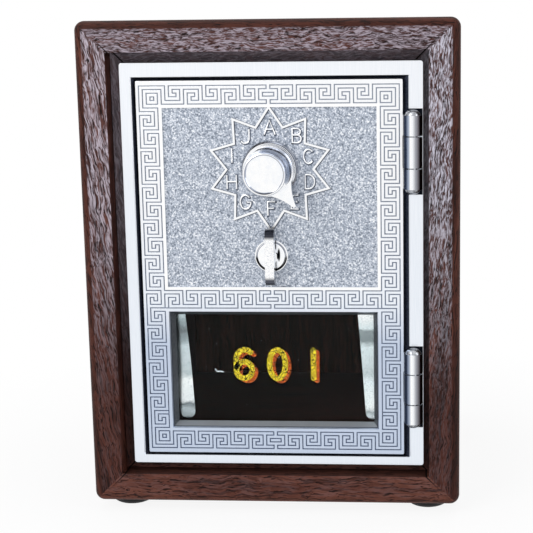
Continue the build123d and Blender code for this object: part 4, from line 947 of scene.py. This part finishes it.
def ridge_curve(name, lines, radius):
    """A curve of round section along each line of points."""
    data = bpy.data.curves.new(name, "CURVE")
    data.dimensions = "3D"
    data.bevel_depth = radius
    data.bevel_resolution = 3
    data.use_fill_caps = True
    for line in lines:
        spline = data.splines.new("POLY")
        spline.points.add(len(line) - 1)
        for point, (x, z) in zip(spline.points, line):
            point.co = (x, letter_axis_y, z, 1.0)
    return data


rubbed = worn_metal("rubbed_ridges", "#F6F8FB", "#FFFFFF", 0.3, 0.3 * MM, 0.3 * MM, 0.1, 0.8 * MM)
letter_lines = []
for index, (letter, lines) in enumerate(strokes.items()):
    spoke = math.radians(90 - 360 * index / len(strokes))
    aside, up_by = nudges_mm.get(letter, (0, 0))
    centre_x = door_x + letter_ring_r * math.cos(spoke) + aside * MM
    base_z = dial_z + letter_ring_r * math.sin(spoke) - letter_h / 2 + up_by * MM
    placed = [[(centre_x + x * letter_h, base_z + z * letter_h) for x, z in line] for line in lines]
    letter_lines.extend(placed)
    data = ridge_curve(f"dial_letter_{letter}", placed, letter_ridge_r)
    place_piece(f"dial_letter_{letter}", data, rubbed, "door")
print(len(strokes), "letters on the ring")

# %% [markdown]
# Flat bands of even width serve twice: for the painted shadow at the foot of the ridges, and
# for the painted number. A band follows a line of points. An open one gets round ends, a closed
# one joins up with itself.

# %% Bands of paint


def ribbon(points, width, end_steps=8):
    """Corners of a flat ribbon of even width along a line, as pairs, and whether it is closed."""
    closed = (Vector(points[0]) - Vector(points[-1])).length < width / 50
    line = [Vector(p) for p in (points[:-1] if closed else points)]
    across = []
    for k, point in enumerate(line):
        before = line[k - 1] if closed or k else point
        after = line[(k + 1) % len(line)] if closed or k + 1 < len(line) else point
        along = ((point - before).normalized() + (after - point).normalized()).normalized()
        straight = (after - point if k + 1 < len(line) or closed else point - before).normalized()
        widen = 1 / max(abs(along.dot(straight)), 0.5)
        across.append(Vector((-along.y, along.x)) * width / 2 * widen)
    pairs = [(p + s, p - s) for p, s in zip(line, across)]
    if closed:
        return pairs, True
    for end, way in ((0, -1), (-1, 1)):
        side = across[end]
        outward = Vector((side.y, -side.x)) * way
        turns = [math.pi / 2 * (k + 0.5) / end_steps for k in range(end_steps)]
        cap = [
            (
                line[end] + outward * math.cos(t) + side * math.sin(t),
                line[end] + outward * math.cos(t) - side * math.sin(t),
            )
            for t in turns
        ]
        pairs = cap + pairs if end == 0 else pairs + cap[::-1]
    return pairs, False


def bands(name, lines, width, y, thickness, shift=(0, 0)):
    """Thin paint in the shape of all the lines' ribbons, its front at y, moved in x and z."""
    shape = bmesh.new()
    for line in lines:
        pairs, closed = ribbon([(x + shift[0], z + shift[1]) for x, z in line], width)
        made = [[shape.verts.new((c.x, y, c.y)) for c in pair] for pair in pairs]
        for first, second in zip(made, made[1:] + made[:1] if closed else made[1:]):
            shape.faces.new((first[0], first[1], second[1], second[0]))
    solid = bmesh.ops.extrude_face_region(shape, geom=list(shape.faces))
    moved_back = [v for v in solid["geom"] if isinstance(v, bmesh.types.BMVert)]
    bmesh.ops.translate(shape, verts=moved_back, vec=(0, thickness, 0))
    return finished_mesh(shape, name)


print(len(ribbon([(0, 0), (0, 1)], 0.1)[0]), "pairs of corners in a straight band with round ends")

# %% Painted shadow at the foot of the ridges


def ridge_shadow_material(name):
    """Painted shadow at the foot of the ridges: thin, blue-grey, uneven."""
    made, tree, shader = new_material(name, metallic=0.6, roughness=0.6)
    place = add(tree, "TexCoord", out="Object")
    cloud = add(tree, "TexNoise", {"Vector": place, "Scale": 1 / (0.4 * MM), "Detail": 3.0})
    colour = add(tree, "ValToRGB", {0: cloud}, stops=((0.35, "#3A404E"), (0.65, "#6E7686")))
    tree.links.new(colour, shader.inputs["Base Color"])
    skin = add(tree, "Bump", {"Height": cloud, "Strength": 0.4, "Distance": 0.05 * MM})
    tree.links.new(skin, shader.inputs["Normal"])
    return made


star_tip_r, star_valley_r, star_line, star_points = 19.1 * MM, 13.6 * MM, 0.55 * MM, 10
# The painted shadow band is moved below and to the right of each ridge.
ridge_shadow_w, ridge_shadow_shift = 0.84 * MM, (0.14 * MM, -0.14 * MM)
ridge_shadow_proud, ridge_shadow_t = 0.03 * MM, 0.05 * MM
crest_w, crest_t = 0.64 * MM, 0.03 * MM
star_ridge = []
for step in range(2 * star_points + 1):
    radius = (star_tip_r, star_valley_r)[step % 2] - star_line / 2
    turn = math.radians(90 + step * 180 / star_points)
    star_ridge.append((door_x + radius * math.cos(turn), dial_z + radius * math.sin(turn)))
ridges = [star_ridge, *letter_lines]
ridge_shadow_mesh = bands("ridge_shadow_band", ridges, ridge_shadow_w, field_y - ridge_shadow_proud, ridge_shadow_t, ridge_shadow_shift)
place_piece("ridge_shadow_band", ridge_shadow_mesh, ridge_shadow_material("painted_ridge_shadow"), "door")
crest_mesh = bands("star_crest", [star_ridge], crest_w, face_y + star_top - crest_t, 2 * crest_t)
place_piece("star_crest", crest_mesh, rubbed, "door")
# The painted shadow band runs along the star and every letter.
print("wash along", len(ridges), "ridges")

# %% [markdown]
# ## The strips that hold the glass
# Two strips of spring steel press the pane against its seat. Each hangs from a screw above
# the window and leans a little outward. Between the screw and its lower end it is bowed back
# from the glass, as a leaf spring is, and only its end presses. The imported strips are
# straight, so each is copied, cut into short lengths and bowed. Lighter and darker bands across
# each strip are painted reflections, at given heights.

# %% Strip finish


def strip_metal(name, reflection_bands_up):
    """Rolled steel with painted reflections as bands across it, each given as (height over the floor,
    colour).
    """
    made, tree, shader = new_material(name, metallic=1.0, roughness=0.25)
    place = add(tree, "TexCoord", out="Object")
    height = add(tree, "SeparateXYZ", {0: place}, out="Z")
    cloud = add(tree, "TexNoise", {"Vector": place, "Scale": 1 / (2.2 * MM), "Detail": 4.0})
    wander = add(tree, "MapRange", {0: cloud, 3: -1.6 * MM, 4: 1.6 * MM})
    height = add(tree, "Math", {0: height, 1: wander})
    _, reflected = height_colours(tree, height, reflection_bands_up)
    spots = add(tree, "TexNoise", {"Vector": place, "Scale": 1 / (0.5 * MM), "Detail": 3.0})
    wear_and_sheen = add(tree, "ValToRGB", {0: spots}, stops=((0.3, "#E6EAEC"), (0.5, "#FFFFFF")))
    colour = add(
        tree, "Mix", {0: 1.0, 6: reflected, 7: wear_and_sheen}, out=2, data_type="RGBA", blend_type="MULTIPLY"
    )
    tree.links.new(colour, shader.inputs["Base Color"])
    skin = add(tree, "Bump", {"Height": spots, "Strength": 0.15, "Distance": 0.02 * MM})
    tree.links.new(skin, shader.inputs["Normal"])
    return made


clip_low, clip_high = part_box("glass_clip_left")
print(f"packed strips reach from z {clip_low.z / MM:.1f} to {clip_high.z / MM:.1f} mm")

# %% Bowed strips
strip_gap = 0.02 * MM
strip_bow = 1.1 * MM
strip_cuts = 28
bow_above_window = 1 * MM


def bowed_strip(node, material):
    """A copy of a packed strip, bowed back from the glass between the window's top and its end."""
    packed = nodes[node]
    shape = bmesh.new()
    shape.from_mesh(packed.data)
    shape.transform(packed.matrix_world)
    low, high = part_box(node)[0].z, glass_high.z + bow_above_window
    for k in range(1, strip_cuts):
        level = low + (high - low) * k / strip_cuts
        parts = list(shape.verts) + list(shape.edges) + list(shape.faces)
        bmesh.ops.bisect_plane(shape, geom=parts, plane_co=(0, 0, level), plane_no=(0, 0, 1))
    for vertex in shape.verts:
        along = min(max((vertex.co.z - low) / (high - low), 0.0), 1.0)
        vertex.co.y += strip_gap + strip_bow * math.sin(math.pi * along) ** 2
    mesh = bpy.data.meshes.new("bowed_" + node)
    shape.to_mesh(mesh)
    shape.free()
    for face in mesh.polygons:
        face.use_smooth = abs(face.normal.y) > 0.5
    piece = place_piece("bowed_" + node, mesh, material, "door")
    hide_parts(node)
    return piece


# Painted reflections on each strip: lighter and darker bands at these heights.
left_reflection_bands = (
    (28.5 * MM, "#8E979B"), (31.5 * MM, "#B9C2C6"), (33 * MM, "#6F787C"), (34.5 * MM, "#F2F6F8"),
    (41 * MM, "#FBFFFF"), (43 * MM, "#C6D0D3"), (52 * MM, "#DCE6EA"), (54 * MM, "#A9B3B7"),
    (57 * MM, "#798084"), (61 * MM, "#A9B6BA"), (63 * MM, "#C8D6DA"),
)
right_reflection_bands = (
    (28.5 * MM, "#DCE6EA"), (31 * MM, "#A6AFB2"), (33 * MM, "#FBFFFF"), (41 * MM, "#EEF7FA"),
    (43 * MM, "#CBD5D8"), (52 * MM, "#ECF5F8"), (54 * MM, "#8E989B"), (57 * MM, "#9AA4A7"),
    (58 * MM, "#E4EFF2"), (62 * MM, "#FFFFFF"),
)
for side, side_reflections in (("left", left_reflection_bands), ("right", right_reflection_bands)):
    bowed_strip("glass_clip_" + side, strip_metal("banded_strip_" + side, side_reflections))
print("two strips bowed by", round(strip_bow / MM, 1), "mm")

# %% [markdown]
# ## The painted number
# The number is painted on the back of the glass by hand: first the figures in gold size,
# then a rusty shade behind them, down and to the right. Age has crazed the paint and chipped
# its edges. Each figure is a ribbon that follows a drawn line, and the shade is the same
# ribbon, moved. Being behind the gold, it shows only where the gold ends. A slip of white
# paint and a few specks have been left on the pane.

# %% Number paint


def sign_paint(name, dark, light, crack, crack_w):
    """Brittle old paint with a net of cracks and chips."""
    made, tree, shader = new_material(name, roughness=0.5, ior=1.5, specular_ior_level=0.1)
    place = add(tree, "TexCoord", out="Object")
    cloud = add(tree, "TexNoise", {"Vector": place, "Scale": 1 / (0.9 * MM), "Detail": 4.0})
    bend = add(tree, "TexNoise", {"Vector": place, "Scale": 1 / (0.7 * MM)}, out="Color")
    bend = add(tree, "VectorMath", {0: bend, "Scale": 0.7 * MM}, operation="SCALE")
    warped = add(tree, "VectorMath", {0: place, 1: bend})
    net = add(
        tree, "TexVoronoi", {"Vector": warped, "Scale": 1 / (1.15 * MM)},
        out="Distance", feature="DISTANCE_TO_EDGE",
    )
    cracks = add(tree, "ValToRGB", {0: net}, stops=((crack_w * 0.4, 1.0), (crack_w, 0.0)))
    some = add(tree, "ValToRGB", {0: cloud}, stops=((0.4, 0.0), (0.5, 1.0)))
    cracked = add(tree, "Math", {0: cracks, 1: some}, operation="MULTIPLY")
    chips = add(tree, "TexNoise", {"Vector": place, "Scale": 1 / (0.55 * MM), "Detail": 3.0})
    chipped = add(tree, "ValToRGB", {0: chips}, stops=((0.31, 0.9), (0.35, 0.0)))
    cracked = add(tree, "Math", {0: cracked, 1: chipped}, operation="MAXIMUM")
    paint = add(tree, "ValToRGB", {0: cloud}, stops=((0.36, dark), (0.56, light)))
    colour = add(tree, "Mix", {0: cracked, 6: paint, 7: crack}, out=2, data_type="RGBA")
    tree.links.new(colour, shader.inputs["Base Color"])
    return made


gold = sign_paint("gold_size_paint", "#B79A1C", "#EAD22C", "#2C2A10", 0.1)
rust = sign_paint("rust_shade_paint", "#A03F14", "#CF5F22", "#1C0D08", 0.11)
print("paints:", gold.name, "and", rust.name)

# %% The figures
figure_h = 11.1 * MM
figure_stroke = 1.75 * MM
figure_base_z = door_z - 36.35 * MM
figure_lines = {
    "six": (-10.15 * MM, [
        [*bow(0.03, 0.64, 0.3, 0.36, 50, 180), (-0.27, 0.4)], bow(0.0, 0.29, 0.27, 0.29, 180, 540, 26),
    ]),
    "nought": (0.45 * MM, [bow(0.0, 0.5, 0.27, 0.5, 90, 450, 30)]),
    "one": (11.9 * MM, [[(0, 0.02 + 0.96 * k / 6) for k in range(7)]]),
}
number_lines = []
line_h = figure_h - figure_stroke
for centre, lines in figure_lines.values():
    for line in lines:
        number_lines.append([
            (door_x + centre + x * line_h, figure_base_z + figure_stroke / 2 + z * line_h)
            for x, z in line
        ])
paint_t = 0.03 * MM
paint_y = glass_back + 0.005 * MM
shade_y = glass_back + 2 * paint_t
shade_w = figure_stroke * 0.96
shade_shift = (1.05 * MM, -0.72 * MM)
gold_mesh = bands("number_gold", number_lines, figure_stroke, paint_y, paint_t)
place_piece("number_gold", gold_mesh, gold, "door")
shade_mesh = bands("number_shade", number_lines, shade_w, shade_y, paint_t, shade_shift)
place_piece("number_shade", shade_mesh, rust, "door")
print(len(number_lines), "strokes in the number")

# %% Slip and specks of paint
white_paint = sign_paint("white_paint", "#B9BCC4", "#D9DCE2", "#8A8D94", 0.05)
slip_w, speck_w, speck_rise, speck_count = 0.42 * MM, 0.13 * MM, 0.03 * MM, 16
slip_mm = ((-19.4, -32.5), (-18.8, -33.3), (-17.8, -33.2), (-16.9, -33.4))
slip_line = [(door_x + x * MM, door_z + z * MM) for x, z in slip_mm]
slip_mesh = bands("paint_slip", [slip_line], slip_w, paint_y, paint_t)
place_piece("paint_slip", slip_mesh, white_paint, "door")
speck_x_mm, speck_z_mm, speck_run_mm = (-23, 23), (-46, -19), (0.04, 0.14)
chance = random.Random(11)
speck_lines = []
for _ in range(speck_count):
    x = door_x + chance.uniform(*speck_x_mm) * MM
    z = door_z + chance.uniform(*speck_z_mm) * MM
    speck_lines.append([(x, z), (x + chance.uniform(*speck_run_mm) * MM, z + speck_rise)])
speck_mesh = bands("paint_specks", speck_lines, speck_w, paint_y, paint_t)
place_piece("paint_specks", speck_mesh, white_paint, "door")
print(len(speck_lines), "specks on the pane")

# %% [markdown]
# ## Floor, backdrop and light
# The object stands on a white table in front of white paper, under soft studio light. The
# floor is white and takes the object's soft shadow. Far from the object it turns into plain
# white, as the paper does. The lamps are large, so that the metal shows broad soft bands and
# not points.

# %% Floor
shadow_from, shadow_to, near_share = 70 * MM, 180 * MM, 0.9


def white_paper(name):
    """White paper that keeps a shadow near the object and is plain white further off."""
    made, tree, shader = new_material(name, roughness=0.9, specular_ior_level=0.1)
    shader.inputs["Base Color"].default_value = linear("#FAFAFA")
    place = add(tree, "TexCoord", out="Object")
    away = add(tree, "VectorMath", {0: place}, out="Value", operation="LENGTH")
    far = add(tree, "MapRange", {0: away, 1: shadow_from, 2: shadow_to, 3: near_share, 4: 1.0})
    ray = add(tree, "LightPath", out=None)
    seen = add(tree, "Math", {0: ray["Is Camera Ray"], 1: ray["Is Glossy Ray"]}, operation="MAXIMUM")
    seen = add(tree, "Math", {0: seen, 1: ray["Is Transmission Ray"]}, operation="MAXIMUM")
    share = add(tree, "Math", {0: far, 1: seen}, operation="MULTIPLY")
    plain = add(tree, "Emission", {"Color": "#FFFFFF", "Strength": 1.0})
    both = add(tree, "MixShader", {0: share, 1: shader.outputs["BSDF"], 2: plain})
    tree.links.new(both, tree.nodes["Material Output"].inputs["Surface"])
    return made


floor_half = 6.0
floor_mesh = bpy.data.meshes.new("table")
floor_mesh.from_pydata(
    [(x * floor_half, y * floor_half, 0) for x, y in ((-1, -1), (1, -1), (1, 1), (-1, 1))],
    [], [(0, 1, 2, 3)],
)
floor = bpy.data.objects.new("table", floor_mesh)
bpy.context.scene.collection.objects.link(floor)
floor.data.materials.append(white_paper("white_paper"))
floor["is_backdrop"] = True
print("white floor", 2 * floor_half, "m wide")

# %% Backdrop
world = bpy.data.worlds.new("studio")
bpy.context.scene.world = world
world.use_nodes = True
sky = world.node_tree
sky_light = sky.nodes["Background"]
sky_light.inputs["Color"].default_value = linear("#E9EDF3")
sky_light.inputs["Strength"].default_value = 0.5
ray = add(sky, "LightPath", out=None)
paper = add(sky, "Background", {"Color": "#FFFFFF", "Strength": 1.0})
seen = add(sky, "Math", {0: ray["Is Camera Ray"], 1: ray["Is Glossy Ray"]}, operation="MAXIMUM")
seen = add(sky, "Math", {0: seen, 1: ray["Is Transmission Ray"]}, operation="MAXIMUM")
both = add(sky, "MixShader", {0: seen, 1: sky_light.outputs[0], 2: paper})
sky.links.new(both, sky.nodes["World Output"].inputs["Surface"])
print("sky light at", sky_light.inputs["Strength"].default_value)

# %% Lamps


def softbox(name, place, width, height, watts):
    """A rectangular lamp that points at the middle of the object."""
    data = bpy.data.lights.new(name, "AREA")
    data.shape = "RECTANGLE"
    data.size = width
    data.size_y = height
    data.energy = watts
    lamp = bpy.data.objects.new(name, data)
    bpy.context.scene.collection.objects.link(lamp)
    lamp.location = place
    lamp.rotation_mode = "QUATERNION"
    lamp.rotation_quaternion = (middle - Vector(place)).to_track_quat("-Z", "Y")


middle = Vector((0, 0, 80 * MM))
softbox("key_left", (-0.55, -0.75, 0.7), 0.5, 0.6, 4.5)
softbox("fill_right", (0.8, -0.5, 0.45), 0.4, 0.6, 1.6)
softbox("top", (0.0, 0.1, 0.95), 0.8, 0.6, 2.5)
print("three lamps aimed at", round(middle.z / MM), "mm over the floor")

# %% [markdown]
# ## Finish
# The dressed object's size is printed, in millimetres.

# %% Sizes and finish
scene = bpy.context.scene
scene.view_settings.view_transform = "Standard"
shown_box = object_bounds()
shown_mm = [round((high - low) / MM, 1) for low, high in zip(*shown_box)]
print("the dressed model measures", shown_mm, "mm")
